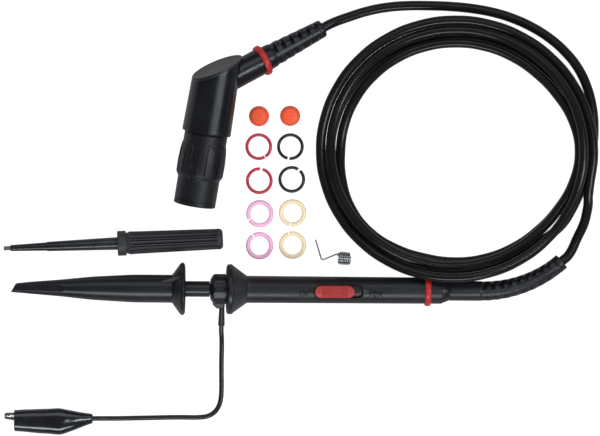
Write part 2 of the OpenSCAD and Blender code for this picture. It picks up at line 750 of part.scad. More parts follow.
// Least gap between strands half a turn or more apart, on points along the coil
coil_samples = [for (i = [0 : coil_steps - 1], q = [0 : 0.25 : 0.75])
    coil_loops[i] * (1 - q) + coil_loops[i + 1] * q];
sample_apart = loop_steps * 2;
coil_gap = min([for (i = [0 : 2 : len(coil_samples) - 1], j = [i + sample_apart : len(coil_samples) - 1])
    norm(coil_samples[i] - coil_samples[j])]) - cable_d;
function path_length(path) = let (n = len(path)) [for (i = 0, s = 0; i < n;
    s = s + (i < n - 1 ? norm(path[i + 1] - path[i]) : 0), i = i + 1) s][n - 1];

module cable_coil() { color(black) tube(coil_route, cable_d, 6); }

// Free stretch from the probe's relief up to the coil's upper layer
probe_exit = probe_to_world(bend_end(0));
probe_stretch = concat(
    [probe_exit, probe_exit + 0.9 * cable_d * unit(probe_to_world(bend_end(5)) - probe_exit)],
    [[107.9, -7.8, 3.5], [110.2, -2.8, 3.9], [111.6, 2.8, 4.6], [112.6, 8.2, 5.4]],
    [coil_end + 0.9 * cable_d * unit(coil_end - coil_loops[coil_steps]), coil_end]);
module cable_probe_end() { color(black) tube(probe_stretch, cable_d, 8); }

// Connector frame: z runs from the mouth to the top, x points to the arm, y to the table.
mouth_place = [-33.6, 4.2, grip_d / 2 * cos(connector_rise)];
module in_connector() {
    translate(mouth_place) rotate([0, 0, connector_heading]) rotate([0, 90 - connector_rise, 0])
        rotate([0, 0, connector_roll - 90]) children();
}
function connector_to_world(p) = mouth_place
    + turn_z(turn_y(turn_z(p, connector_roll - 90), 90 - connector_rise), connector_heading);

// Middle of the arm relief's end, or a point beyond it along the cable
function arm_point(beyond) = let (l = arm_len + band_w / 2 + arm_relief_len + beyond)
    [sin(arm_angle) * l, 0, elbow_h + cos(arm_angle) * l];

// Free stretch from the connector's relief round the far side to the coil's lower layer
arm_exit = connector_to_world(arm_point(0));
connector_stretch = concat(
    [arm_exit, arm_exit + cable_d * unit(connector_to_world(arm_point(5)) - arm_exit)],
    [[23.9, 73.8, 2], [30.3, 75.8, 1.8], [37.5, 77.2, 1.8], [45.3, 77.8, 1.8], [53.3, 77.8, 1.8],
    [61.3, 77.5, 1.8], [69.3, 76.7, 1.8], [77.3, 75.2, 1.8], [84.3, 73, 1.8], [91.3, 69.8, 1.8],
    [97.9, 65.6, 1.8], [103.5, 60.6, 1.8], [108.1, 54.8, 1.8], [111.3, 48.2, 1.8], [113.3, 40.8, 1.8],
    [114, 33.2, 1.8], [113.5, 25.2, 1.8], [111.7, 17.2, 1.8], [108.7, 9.6, 1.8], [104.5, 2.4, 1.8]],
    [coil_start + 0.9 * cable_d * unit(coil_start - coil_loops[0]), coil_start]);
module cable_connector_end() { color(black) tube(connector_stretch, cable_d, 8); }

echo(coil_least_gap = coil_gap, coil_length = path_length(coil_route),
    cable_length = path_length(coil_route) + path_length(probe_stretch) + path_length(connector_stretch),
    ground_wire_length = path_length(wire_route));

// ---------- connector ----------
arm_spine_turn = -88;
arm_spine_w = 3.8;
arm_slots_from = 3.4;
arm_slots_end = 3.6;
module in_arm() { in_connector() translate([0, 0, elbow_h]) rotate([0, arm_angle, 0]) children(); }

module arm_relief() {
    pitch = (arm_relief_len - arm_slots_from - arm_slots_end) / (arm_slots - 1);
    color(black) in_arm() translate([0, 0, arm_len + band_w / 2]) difference() {
        union() {
            cylinder(d1 = arm_relief_d, d2 = relief_end_d, h = arm_relief_len);
            translate([0, 0, -5]) cylinder(r = arm_d / 2 - housing_wall - press_gap, h = 5 + tiny);
        }
        for (i = [0 : arm_slots - 1]) translate([0, 0, arm_slots_from + i * pitch]) relief_slot();
    }
}

// Slot round a relief, cut down to the core and interrupted by the two spines
module relief_slot() {
    difference() {
        cylinder(d = 2 * arm_relief_d, h = slot_w);
        translate([0, 0, -1]) cylinder(r = relief_core_r, h = slot_w + 2);
        rotate([0, 0, arm_spine_turn]) translate([-arm_relief_d, -arm_spine_w / 2, -1])
            cube([2 * arm_relief_d, arm_spine_w, slot_w + 2]);
    }
}

module arm_marker_ring() {
    color(red) in_arm() translate([0, 0, arm_len - band_w / 2]) marker_band(arm_d / 2 + band_gap);
}

housing_from = grip_len + face_gap;
cover_t = 1;
shank_r = 4.6;
module housing_cone(from, to, wider = 0) {
    slope = (housing_top_d - housing_d) / 2 / (housing_top - housing_from);
    translate([0, 0, from]) cylinder(r1 = housing_d / 2 + slope * (from - housing_from) + wider,
        r2 = housing_d / 2 + slope * (to - housing_from) + wider, h = to - from);
}

// Everything above the slanted end, lowered by some depth
module above_slant(depth) {
    translate([0, 0, housing_top]) rotate([0, -end_slant, 0]) translate([-40, -40, -depth]) cube(80);
}

module connector_housing() {
    color(black) in_connector() difference() {
        union() {
            difference() {
                housing_cone(housing_from, housing_top + 12);
                above_slant(cover_t);
            }
            translate([0, 0, elbow_h]) rotate([0, arm_angle, 0])
                cylinder(d = arm_d, h = arm_len + band_w / 2);
        }
        // Seat for the cover's rim in the root of the arm
        intersection() {
            housing_cone(housing_top - 10, housing_top + 12, 0.15);
            above_slant(cover_t);
        }
        translate([0, 0, housing_from + 3]) cylinder(r = housing_top_d / 2 - housing_wall, h = 40);
        translate([0, 0, elbow_h]) rotate([0, arm_angle, 0])
            cylinder(r = arm_d / 2 - housing_wall, h = arm_len + 10);
        translate([0, 0, housing_from - 1]) cylinder(r = shank_r + press_gap, h = 5);
        translate([0, 0, trim_z]) rotate([-90, 0, 0]) cylinder(d = trim_hole_d, h = housing_d);
    }
}

module connector_cover() {
    color("#4a4b4f") in_connector() intersection() {
        difference() {
            housing_cone(housing_from, housing_top + 12);
            above_slant(0);
        }
        above_slant(cover_t - press_gap);
    }
}

trim_z = 36;
board_t = 1;
plug_back = housing_from + 2.8;
board_front = plug_back + 0.4;
module connector_board() {
    half = housing_top_d / 2 - housing_wall - 0.6;
    color("#2f6b45") in_connector() translate([-half, -1, board_front])
        cube([2 * half, board_t, housing_top - board_front - 8.8]);
}

trimmer_top = 3.6;
module trimmer_body() {
    color("#d9d2c0") in_connector() translate([0, board_t - 1, trim_z]) rotate([-90, 0, 0]) difference() {
        cylinder(d = 5, h = trimmer_top);
        translate([0, 0, 1]) cylinder(d = 2.6 + 2 * run_gap, h = 5);
    }
}

module trimmer_screw() {
    color(brass) in_connector() translate([0, board_t, trim_z]) rotate([-90, 0, 0]) difference() {
        cylinder(d = 2.6, h = trimmer_top);
        translate([-blade_w / 2 - 0.1, -0.3, trimmer_top - 0.8]) cube([blade_w + 0.2, 0.6, 2]);
    }
}

// ---------- bayonet coupling ----------
shell_r = bayonet_bore_d / 2 + 1.6;
shell_front = 0.8;
// Front of the shell's bore, clear of the contact tube behind it
bore_land = 3;
bore_relief = 0.2;
contact_front = shell_front + bore_land + face_gap;
contact_r_out = 4;
insulator_r = 2.6;
insulator_front = 7;
pin_bare = 2.4;
pin_root_r = 1;
flange_at = 15;
module bnc_body() {
    color(steel) in_connector() rotate_extrude() polygon([
        [contact_r_out - 0.5, contact_front], [contact_r_out, contact_front],
        [contact_r_out, flange_at], [5.5, flange_at], [5.5, flange_at + 1.4],
        [shank_r, flange_at + 1.4], [shank_r, plug_back], [insulator_r, plug_back],
        [insulator_r, 12.2], [contact_r_out - 0.5, 11.6]]);
}

module bnc_insulator() {
    bore_r = pin_root_r + press_gap;
    rear_r = insulator_r - press_gap;
    color("#e8e4da") in_connector() rotate_extrude() polygon([
        [bore_r, insulator_front], [1.9, insulator_front], [1.9, 12], [rear_r, 12.4],
        [rear_r, plug_back], [bore_r, plug_back]]);
}

// Bare pin with a blunt tip, and a thicker root held by the insulator
module bnc_centre_pin() {
    color(brass) in_connector() rotate_extrude() polygon([
        [0, insulator_front - pin_bare - 0.6], [0.3, insulator_front - pin_bare - 0.6],
        [centre_pin_d / 2, insulator_front - pin_bare], [centre_pin_d / 2, insulator_front],
        [pin_root_r, insulator_front], [pin_root_r, board_front - face_gap],
        [0, board_front - face_gap]]);
}

module bayonet_shell() {
    r = bayonet_bore_d / 2;
    color(steel) in_connector() difference() {
        translate([0, 0, shell_front]) cylinder(r = shell_r, h = flange_at - 0.4 - shell_front);
        cylinder(r = r, h = flange_at);
        translate([0, 0, shell_front + bore_land]) cylinder(r = r + bore_relief, h = flange_at);
        for (side = [0, 180]) rotate([0, 0, side]) bayonet_slot();
    }
}

// J slot: straight in, round a quarter turn and into its locking hole
module bayonet_slot() {
    slot = 2.2;
    translate([0, -slot / 2, -1]) cube([shell_r + 1, slot, 5.5]);
    translate([0, 0, 4.5 - slot / 2]) rotate_extrude(angle = 75) translate([3, 0]) square([shell_r, slot]);
    rotate([0, 0, 75]) translate([0, 0, 4.5]) rotate([0, 90, 0]) cylinder(d = slot + 0.3, h = shell_r + 1);
}

module bayonet_washer() {
    color(steel) in_connector() translate([0, 0, flange_at + 1.4 + face_gap]) difference() {
        cylinder(r = shell_r - inner_gap, h = 0.8);
        translate([0, 0, -1]) cylinder(r = shank_r + 0.3, h = 3);
    }
}

grip_turn = -98.5;
module grip_sleeve() {
    base = grip_d / 2;
    top = grip_len;
    lip_at = flange_at + 2.8;
    color(black) in_connector() difference() {
        union() {
            rotate_extrude() polygon([
                [0, 0], [base - 0.3, 0], [base, 0.3], [base, 1.5], [base - 0.25, 1.6],
                [base - 0.25, 1.9], [base, 2], [base, mouth_len], [base + 0.2, mouth_len + 1],
                [base + 0.2, top - 0.4], [base - 0.2, top], [0, top]]);
            for (i = [0 : grip_panels - 1]) rotate([0, 0, i * 360 / grip_panels + grip_turn]) grip_panel();
        }
        translate([0, 0, -1]) cylinder(r = shell_r - 0.6, h = 3);
        translate([0, 0, 0.8]) cylinder(r = shell_r, h = lip_at - 0.8);
        translate([0, 0, lip_at - 1]) cylinder(r = shank_r + 0.3, h = top);
    }
}

// Raised panel with an arched end and a slot along its middle
module grip_panel() {
    half = 3.1;
    from = mouth_len;
    to = grip_len - 6.5;
    intersection() {
        rotate_extrude() polygon([[shell_r + 0.3, from - 0.2], [grip_d / 2 - 0.1, from - 0.2],
            [grip_panel_d / 2, from + 1.3], [grip_panel_d / 2, from + 2], [grip_d / 2 + 0.25, grip_len - 2],
            [shell_r + 0.3, grip_len - 2]]);
        rotate([90, 0, 90]) linear_extrude(grip_panel_d) difference() {
            union() {
                translate([-half, from - 1]) square([2 * half, to - from + 1]);
                translate([0, to]) circle(r = half);
            }
            translate([-0.3, from + 1.8]) square([0.6, to - from + 0.6]);
        }
    }
}

// ---------- loose kit ----------
tool_collar_at = 2.5 + shaft_len;
tool_collar_t = 3.2;
tool_pitch = asin((tool_collar_d - handle_d + 1.2) / 2 / (handle_len + 2));
module in_tool() {
    rise = tool_collar_d / 2 * cos(tool_pitch) + (tool_collar_at + tool_collar_t) * sin(tool_pitch);
    translate([-104, -11.9, rise]) rotate([0, 0, 2.5]) rotate([0, 90 + tool_pitch, 0])
        rotate([0, 0, 180]) children();
}

module tool_blade() {
    color(steel) in_tool() translate([-blade_w / 2, -0.25, 0]) cube([blade_w, 0.5, 5.5]);
}

module tool_shaft() {
    step_at = 16;
    color(black) in_tool() difference() {
        union() {
            translate([0, 0, 2.5]) cylinder(d1 = 2.3, d2 = 3.1, h = step_at - 2.5);
            translate([0, 0, step_at]) cylinder(d1 = 3.5, d2 = 4.7, h = tool_collar_at - step_at);
        }
        translate([-blade_w / 2, -0.25, 0]) cube([blade_w, 0.5, 5.5]);
    }
}

module tool_handle() {
    end_d = handle_d - 1.2;
    color(black) in_tool() translate([0, 0, tool_collar_at]) difference() {
        union() {
            rotate_extrude() polygon([[0, 0], [tool_collar_d / 2 - 0.4, 0], [tool_collar_d / 2, 0.4],
                [tool_collar_d / 2, tool_collar_t - 0.3], [tool_collar_d / 2 - 0.8, tool_collar_t],
                [handle_d / 2 - 0.5, tool_collar_t + 0.5], [handle_d / 2 - 0.2, tool_collar_t + 0.9],
                [handle_d / 2, tool_collar_t + 1.4], [end_d / 2, handle_len + 1.2],
                [end_d / 2 - 0.5, handle_len + 2.4], [end_d / 2 - 1.6, handle_len + 3], [0, handle_len + 3]]);
        }
        for (i = [0 : handle_flutes - 1]) rotate([0, 0, i * 360 / handle_flutes])
            translate([handle_d / 2 + 0.15, 0, tool_collar_t + 1.2]) rotate([0, -1, 0])
                cylinder(r = 0.55, h = handle_len - 3.4, $fn = 16);
    }
}

// Coil with one tail that turns aside, as bent from one wire
gs_r = (ground_spring_d - ground_spring_wire) / 2;
gs_steps = 8;
gs_pitch = 1.05;
gs_len = gs_pitch * ground_spring_turns;
gs_coil = [for (i = [0 : gs_steps * ground_spring_turns])
    let (a = 360 * i / gs_steps - 60) [gs_pitch * i / gs_steps, gs_r * cos(a), gs_r * sin(a)]];
gs_tail = [[-9.9, 4.2, -gs_r], [-8.1, 1.15, -gs_r], [-6.4, -1.75, -gs_r], [-5.95, -2.3, -gs_r],
    [-5.3, -2.25, -gs_r], [-3.2, -0.75, -gs_r], [-1, 0.8, -gs_r + 0.1]];
module ground_spring() {
    color(steel) translate([19.7, -15.1, ground_spring_d / 2]) rotate([0, 0, -14])
        tube_free(concat(gs_tail, gs_coil), ground_spring_wire, 6);
}

// Tube whose rings keep the turn of the one before, for paths that run upright
module tube_free(path, d, sides) {
    n = len(path);
    dirs = [for (i = [0 : n - 1]) along(path, i)];
    sides_of = [for (i = 0, s = unit(cross(dirs[0], [0, 0, 1])); i < n;
        s = i < n - 1 ? unit(s - (s * dirs[i + 1]) * dirs[i + 1]) : s, i = i + 1) s];
    points = [for (i = [0 : n - 1], k = [0 : sides - 1])
        let (a = 360 * k / sides, up = cross(sides_of[i], dirs[i]))
        path[i] + d / 2 * (cos(a) * sides_of[i] + sin(a) * up)];
    walls = [for (i = [0 : n - 2], k = [0 : sides - 1])
        let (a = i * sides + k, b = i * sides + (k + 1) % sides)
        each [[a, b, a + sides], [b, b + sides, a + sides]]];
    first = [for (k = [1 : sides - 2]) [0, k + 1, k]];
    last = [for (k = [1 : sides - 2]) [for (v = [0, k, k + 1]) (n - 1) * sides + v]];
    polyhedron(points, concat(walls, first, last));
}

module spare_cap(x, y) {
    r = cap_d / 2;
    color("#f4602c") translate([x, y, 0]) rotate_extrude() polygon([
        [nose_d / 2 + run_gap, 0], [r - 0.2, 0], [r, 0.2], [r, 1], [r - 0.3, 1.2], [r - 0.5, cap_h - 0.9],
        [r - 1.2, cap_h - 0.2], [0.8, cap_h], [0.5, cap_h - 0.4], [0, cap_h - 0.4],
        [0, cap_h - 1.4], [nose_d / 2 + run_gap, cap_h - 1.4]]);
}
module spare_cap_1() { spare_cap(-9.8, 37); }
module spare_cap_2() { spare_cap(1.7, 37.1); }

module split_ring(x, y, gap_at, outer_d, wire, paint) {
    color(paint) translate([x, y, wire / 2]) rotate([0, 0, gap_at + ring_opening / 2])
        rotate_extrude(angle = 360 - ring_opening) translate([(outer_d - wire) / 2, 0])
            circle(d = wire, $fn = 24);
}
module ring_red_1() { split_ring(-9.9, 25.7, -60, dark_ring_d, dark_ring_wire, "#d0243c"); }
module ring_red_2() { split_ring(-9.7, 13.1, 80, dark_ring_d, dark_ring_wire, "#d0243c"); }
module ring_black_1() { split_ring(1.8, 25.7, -100, dark_ring_d, dark_ring_wire, "#20222c"); }
module ring_black_2() { split_ring(2.3, 13.6, 55, dark_ring_d, dark_ring_wire, "#20222c"); }
module ring_pink_1() { split_ring(-9.5, 0.9, 210, pale_ring_d, pale_ring_wire, "#e8a8d0"); }
module ring_pink_2() { split_ring(-9.6, -10.9, 122, pale_ring_d, pale_ring_wire, "#e8a8d0"); }
module ring_cream_1() { split_ring(2.6, 1.2, 262, pale_ring_d, pale_ring_wire, "#ecd29c"); }
module ring_cream_2() { split_ring(2.6, -10.7, 104, pale_ring_d, pale_ring_wire, "#ecd29c"); }

barrel_shell();
front_guard();
nose_tube();
ground_ferrule();
tip_pin();
tip_resistor();
tip_capacitor();
switch_board();
fixed_contacts();
moving_contact();
switch_slider();
barrel_marker_ring();
probe_relief();
hook_sleeve();
hook_core();
hook_wire();
hook_spring();
tip_socket();
ground_collar();
ground_contact_ring();
lead_boot();
ground_wire();
clip_cover();
clip_fixed_jaw();
clip_moving_jaw();
clip_pivot();
clip_spring();
cable_probe_end();
cable_coil();
cable_connector_end();
arm_relief();
arm_marker_ring();
connector_housing();
connector_cover();
connector_board();
trimmer_body();
trimmer_screw();
bnc_body();
bnc_insulator();
bnc_centre_pin();
grip_sleeve();
bayonet_shell();
bayonet_washer();
tool_blade();
tool_shaft();
tool_handle();
ground_spring();
spare_cap_1();
spare_cap_2();
ring_red_1();
ring_red_2();
ring_black_1();
ring_black_2();
ring_pink_1();
ring_pink_2();
ring_cream_1();
ring_cream_2();
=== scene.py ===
import bpy
import bmesh
from math import asin, atan2, ceil, cos, degrees, exp, hypot, pi, radians, sin, sqrt
from mathutils import Matrix, Vector, noise


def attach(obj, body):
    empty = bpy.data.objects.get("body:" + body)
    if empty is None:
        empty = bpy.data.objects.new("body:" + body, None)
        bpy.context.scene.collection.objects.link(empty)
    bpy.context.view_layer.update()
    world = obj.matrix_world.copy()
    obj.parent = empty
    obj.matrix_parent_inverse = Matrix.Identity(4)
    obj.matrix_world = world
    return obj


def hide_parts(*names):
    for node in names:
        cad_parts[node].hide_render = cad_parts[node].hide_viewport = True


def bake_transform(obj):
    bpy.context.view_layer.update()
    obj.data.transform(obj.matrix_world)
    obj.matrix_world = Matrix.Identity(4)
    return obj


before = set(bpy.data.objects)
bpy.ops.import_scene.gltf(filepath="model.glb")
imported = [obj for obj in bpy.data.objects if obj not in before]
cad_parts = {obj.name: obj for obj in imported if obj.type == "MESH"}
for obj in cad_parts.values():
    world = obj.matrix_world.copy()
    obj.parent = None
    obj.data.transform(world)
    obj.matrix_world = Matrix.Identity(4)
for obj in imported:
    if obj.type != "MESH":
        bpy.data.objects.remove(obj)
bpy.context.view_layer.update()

# A long lens looks down from two metres up.

VIEW_WIDE, VIEW_MIDDLE = 0.2214, (0.00535, -0.00068)
LENS_UP, OBJECT_MIDDLE = 2.2, 0.006
TABLE_HALF = 3


def linked(name, data):
    """A new object in the scene."""
    made = bpy.data.objects.new(name, data)
    bpy.context.collection.objects.link(made)
    return made


def new_node(tree, kind, **values):
    """A new node with its named inputs set; an underscore stands for a space."""
    made = tree.nodes.new(kind)
    for name, value in values.items():
        made.inputs[name.replace("_", " ")].default_value = value
    return made


def maths(tree, operation, second=None):
    """A new node for one operation, with its second value where that is fixed."""
    made = new_node(tree, "ShaderNodeMath")
    made.operation = operation
    if second is not None:
        made.inputs[1].default_value = second
    return made


def connect(tree, *links):
    """Links in a tree, each as (from node, its output, to node, its input)."""
    for source, output, target, entry in links:
        tree.links.new(source.outputs[output], target.inputs[entry])


def soft_lamp(name, at, size, watts, tint):
    """A rectangular lamp that faces the middle of the table."""
    lamp = bpy.data.lights.new(name, "AREA")
    lamp.shape = "RECTANGLE"
    lamp.size, lamp.size_y = size
    lamp.energy, lamp.color = watts, tint
    stand = linked(name, lamp)
    stand.location = at
    stand.rotation_euler = (-Vector(at)).to_track_quat("-Z", "Y").to_euler()


lens = bpy.data.cameras.new("camera")
lens.sensor_width = 36
lens.lens = lens.sensor_width * LENS_UP / VIEW_WIDE
lens.clip_end = 20
camera = linked("camera", lens)
camera.location = (*VIEW_MIDDLE, LENS_UP + OBJECT_MIDDLE)
bpy.context.scene.camera = camera
bpy.context.scene.view_settings.view_transform = "Standard"

soft_lamp("front_lamp", (0.05, -1.06, 0.92), (0.9, 0.28), 8, (0.88, 0.94, 1))
soft_lamp("right_lamp", (0.77, -0.13, 1.16), (0.16, 0.8), 5, (0.88, 0.94, 1))
soft_lamp("back_lamp", (0.1, 0.8, 1.05), (1.2, 0.6), 2.6, (0.86, 0.93, 1))

room = bpy.data.worlds.new("room")
room.use_nodes = True
sky = room.node_tree
background = sky.nodes["Background"]
background.inputs["Color"].default_value = (1, 1, 1, 1)
seen_by, level = new_node(sky, "ShaderNodeLightPath"), new_node(sky, "ShaderNodeMapRange", To_Min=0.09, To_Max=0.62)
behind = maths(sky, "MAXIMUM")
connect(sky, (seen_by, "Is Diffuse Ray", level, "Value"), (level, "Result", behind, 0),
        (seen_by, "Is Camera Ray", behind, 1), (behind, 0, background, "Strength"))
bpy.context.scene.world = room

# The table is white to the lens, and gives a little of its light to the pieces
table_paint = bpy.data.materials.new("table_white")
table_paint.use_nodes = True
paint = table_paint.node_tree
paint.nodes.clear()
lit, glow, both, shown = (new_node(paint, kind) for kind in (
    "ShaderNodeBsdfDiffuse", "ShaderNodeEmission", "ShaderNodeAddShader", "ShaderNodeOutputMaterial"))
lit.inputs["Color"].default_value = (0.25, 0.25, 0.25, 1)
seen_by, how_white = new_node(paint, "ShaderNodeLightPath"), new_node(paint, "ShaderNodeMapRange", To_Max=0.95)
on_matt, in_gloss, whiter = maths(paint, "MULTIPLY_ADD", 0.4), maths(paint, "MULTIPLY", 0.22), maths(paint, "MAXIMUM")
connect(paint, (seen_by, "Is Camera Ray", whiter, 0), (seen_by, "Is Glossy Ray", in_gloss, 0),
        (seen_by, "Is Diffuse Ray", on_matt, 0), (in_gloss, 0, on_matt, 2), (on_matt, 0, whiter, 1),
        (whiter, 0, how_white, "Value"), (how_white, "Result", glow, "Strength"), (lit, 0, both, 0),
        (glow, 0, both, 1), (both, 0, shown, "Surface"))

table_top = bpy.data.meshes.new("table")
table_top.from_pydata([(x * TABLE_HALF, y * TABLE_HALF, 0) for x, y in ((-1, -1), (1, -1), (1, 1), (-1, 1))], [],
                      [(0, 1, 2, 3)])
table_top.materials.append(table_paint)
table = linked("table", table_top)

# ---------- Cable ----------
# One length of soft black coaxial cable, 1.32 m from the probe to the plug. It leaves the probe's
# relief, lies in four loops on the table, climbs over the lower loops with the last two, and ends
# in the plug's relief. All points are the middle of the cable, in millimetres.

PROBE_YAW, BARREL_TAIL, GUARD_D, GUARD_RIM, RIM_ROUND = -0.45, 9.7, 18.5, 2.7, 0.6
RING_AT, BAND_W, BAND_PROUD, BAND_ROUND = 74.3, 2.3, 1.84, 0.5
probe_pitch = degrees(atan2((GUARD_D - BARREL_TAIL - BAND_PROUD) / 2,
                            RING_AT + BAND_W / 2 - BAND_ROUND - GUARD_RIM + RIM_ROUND))
probe_height = GUARD_D / 2 * cos(radians(probe_pitch)) + (GUARD_RIM - RIM_ROUND) * sin(radians(probe_pitch))


def turn(axis, angle):
    """A turn of some degrees round an axis."""
    return Matrix.Rotation(radians(angle), 4, axis)


def moved(x, y, z):
    """A shift, in the unit of what it is applied to."""
    return Matrix.Translation((x, y, z))


# The probe lies on its guard and its ring, z from the guard's rim to the tail and x upwards
PROBE = moved(-21.8, -26.9, probe_height) @ turn("Z", PROBE_YAW) @ turn("Y", 90 + probe_pitch) @ turn("Z", 180)
# The plug lies on its grip, z from the mouth to the top and x towards the arm
GRIP_R, PLUG_LEAN, PLUG_YAW, PLUG_ROLL = 7.75, 7, 80.4, 20.5
PLUG = (moved(-33.6, 4.2, GRIP_R * cos(radians(PLUG_LEAN))) @ turn("Z", PLUG_YAW)
        @ turn("Y", 90 - PLUG_LEAN) @ turn("Z", PLUG_ROLL - 90))
ARM_FROM, ARM_ANGLE, ARM_RING_AT, ARM_RELIEF_LEN = 44.4, 55, 20.8, 24.6
ARM = PLUG @ moved(0, 0, ARM_FROM) @ turn("Y", ARM_ANGLE)
ARM_END = ARM_RING_AT + BAND_W / 2 + ARM_RELIEF_LEN

CABLE_D = 3.6
BEND_R, BEND_ANGLE, BEND_FROM = 44.5, 41.5, 94.4


def on_bend(beyond):
    """A point in line with the end of the probe's bent relief, some way beyond it."""
    a = radians(BEND_ANGLE)
    return PROBE @ Vector((0, BEND_R * (cos(a) - 1) - beyond * sin(a),
                           BEND_FROM + BEND_R * sin(a) + beyond * cos(a)))


def humps(t, table):
    """Smooth rises at turn t, from rows of (middle, half width, height)."""
    return sum(height * cos(pi / 2 * (t - middle) / half) ** 2
               for middle, half, height in table if abs(t - middle) < half)


COIL_MIDDLE, COIL_HALF, COIL_TURNS = (62.4, 23.8), (47.4, 45.5), 3.9
INWARD_UNTIL, INWARD_STEP, CLIMB = 1.45, 4.25, 4.1
# Where a strand lies further out, or further in, and where it is lifted over another
OUTWARD = ((1.27, 0.12, 2), (1.42, 0.25, 0.4), (2.5, 0.5, 0.62), (3.8, 0.3, -0.35))
LIFTED = ((3.125, 0.16, 6.2), (2.88, 0.32, 4.4), (1.25, 0.17, 3.5), (2.27, 0.22, 4))


def coil_point(t):
    """The middle of the cable after t turns of the coil."""
    angle = radians(-45 - 360 * t)
    inward = INWARD_STEP * (INWARD_UNTIL - sqrt((t - INWARD_UNTIL) ** 2 + 0.06 ** 2))
    if inward > 0:
        inward *= 1 - 0.7 * max(0, cos(angle)) ** 8
    inward -= humps(t, OUTWARD)
    climbed = min(1, max(0, (t - INWARD_UNTIL) / 0.5 + 0.5))
    rise = CABLE_D / 2 + CLIMB * climbed * climbed * (3 - 2 * climbed) + humps(t, LIFTED)
    return Vector((COIL_MIDDLE[0] + (COIL_HALF[0] - inward) * cos(angle),
                   COIL_MIDDLE[1] + (COIL_HALF[1] - inward) * sin(angle), rise))


LOOP_STEPS = 24
loops = [coil_point(i / LOOP_STEPS) for i in range(round(COIL_TURNS * LOOP_STEPS) + 1)]
coil_start = loops[0] + CABLE_D * (loops[0] - loops[1]).normalized()
coil_end = loops[-1] + CABLE_D * (loops[-1] - loops[-2]).normalized()
coil_route = [coil_start] + loops + [coil_end]

probe_exit = on_bend(0)
probe_route = ([probe_exit, probe_exit + 0.9 * CABLE_D * (on_bend(5) - probe_exit).normalized()]
               + [Vector(p) for p in ((107.9, -7.8, 3.5), (110.2, -2.8, 4.1), (111.2, 1.2, 5), (111.7, 4.6, 5.7))]
               + [coil_end, loops[-1]])

arm_exit = ARM @ Vector((0, 0, ARM_END))
# Inside the plug the cable runs on through its relief and its arm
plug_route = ([ARM @ Vector((0, 0, z)) for z in (1.5, 15, 30)]
              + [arm_exit, arm_exit + CABLE_D * (ARM @ Vector((0, 0, ARM_END + 5)) - arm_exit).normalized()]
              + [Vector((23.9, 73.8, 2))]
              + [Vector((x, y, CABLE_D / 2)) for x, y in (
                  (30.3, 75.8), (37.5, 77.2), (45.3, 77.8), (53.3, 77.8), (61.3, 77.5), (69.3, 76.7), (77.3, 75.2),
                  (84.3, 73), (91.3, 69.8), (97.9, 65.6), (103.5, 60.6), (108.1, 54.8), (111.3, 48.2), (113.3, 40.8),
                  (114, 33.2), (113.5, 25.2), (111.9, 17.2), (109.1, 9.6), (105.9, 2.7), (102.6, -2.6))]
              + [coil_start])


def node_group(name, kind, inputs, outputs):
    """A node group whose sockets are (name, type) or (name, type, default), and its two end nodes."""
    group = bpy.data.node_groups.new(name, kind)
    for way, sockets in (("INPUT", inputs), ("OUTPUT", outputs)):
        for socket, what, *default in sockets:
            made = group.interface.new_socket(name=socket, in_out=way, socket_type="NodeSocket" + what)
            if default:
                made.default_value = default[0]
    return group, group.nodes.new("NodeGroupInput"), group.nodes.new("NodeGroupOutput")


# Moulded or extruded plastic: a fine grain, a broad unevenness of colour and gloss, and dust
grain, grain_in, grain_out = node_group(
    "plastic_grain", "ShaderNodeTree", [("Place", "Vector"), ("Grain", "Float", 4000), ("Cloud", "Float", 90)],
    [("Height", "Float"), ("Shade", "Float"), ("Dust", "Float")])
fine, cloud = (new_node(grain, "ShaderNodeTexNoise", Detail=detail) for detail in (3, 4))
specks = new_node(grain, "ShaderNodeTexNoise", Scale=1500, Detail=1)
few = new_node(grain, "ShaderNodeMapRange", From_Min=0.68, From_Max=0.8)
even = new_node(grain, "ShaderNodeMapRange", From_Min=0.3, From_Max=0.7)
connect(grain, *[(grain_in, "Place", texture, "Vector") for texture in (fine, cloud, specks)],
        (grain_in, "Grain", fine, "Scale"), (grain_in, "Cloud", cloud, "Scale"), (specks, "Fac", few, "Value"),
        (cloud, "Fac", even, "Value"), (fine, "Fac", grain_out, "Height"), (even, "Result", grain_out, "Shade"),
        (few, "Result", grain_out, "Dust"))

# Edges and ridges painted a little paler: rubbed by handling, and on the plug's cover also a painted highlight along
# its rim
rub, rub_in, rub_out = node_group(
    "edge_rub", "ShaderNodeTree", [("Place", "Vector"), ("From", "Float", 0.53), ("Strength", "Float", 0.5)],
    [("Mask", "Float")])
form, ridge = new_node(rub, "ShaderNodeNewGeometry"), new_node(rub, "ShaderNodeMapRange")
patchy = new_node(rub, "ShaderNodeTexNoise", Scale=260)
upper, uneven, full = maths(rub, "ADD", 0.07), maths(rub, "MULTIPLY"), maths(rub, "MULTIPLY")
connect(rub, (form, "Pointiness", ridge, "Value"), (rub_in, "From", ridge, "From Min"), (rub_in, "From", upper, 0),
        (upper, 0, ridge, "From Max"), (rub_in, "Place", patchy, "Vector"), (ridge, "Result", uneven, 0),
        (patchy, "Fac", uneven, 1), (uneven, 0, full, 0), (rub_in, "Strength", full, 1), (full, 0, rub_out, "Mask"))


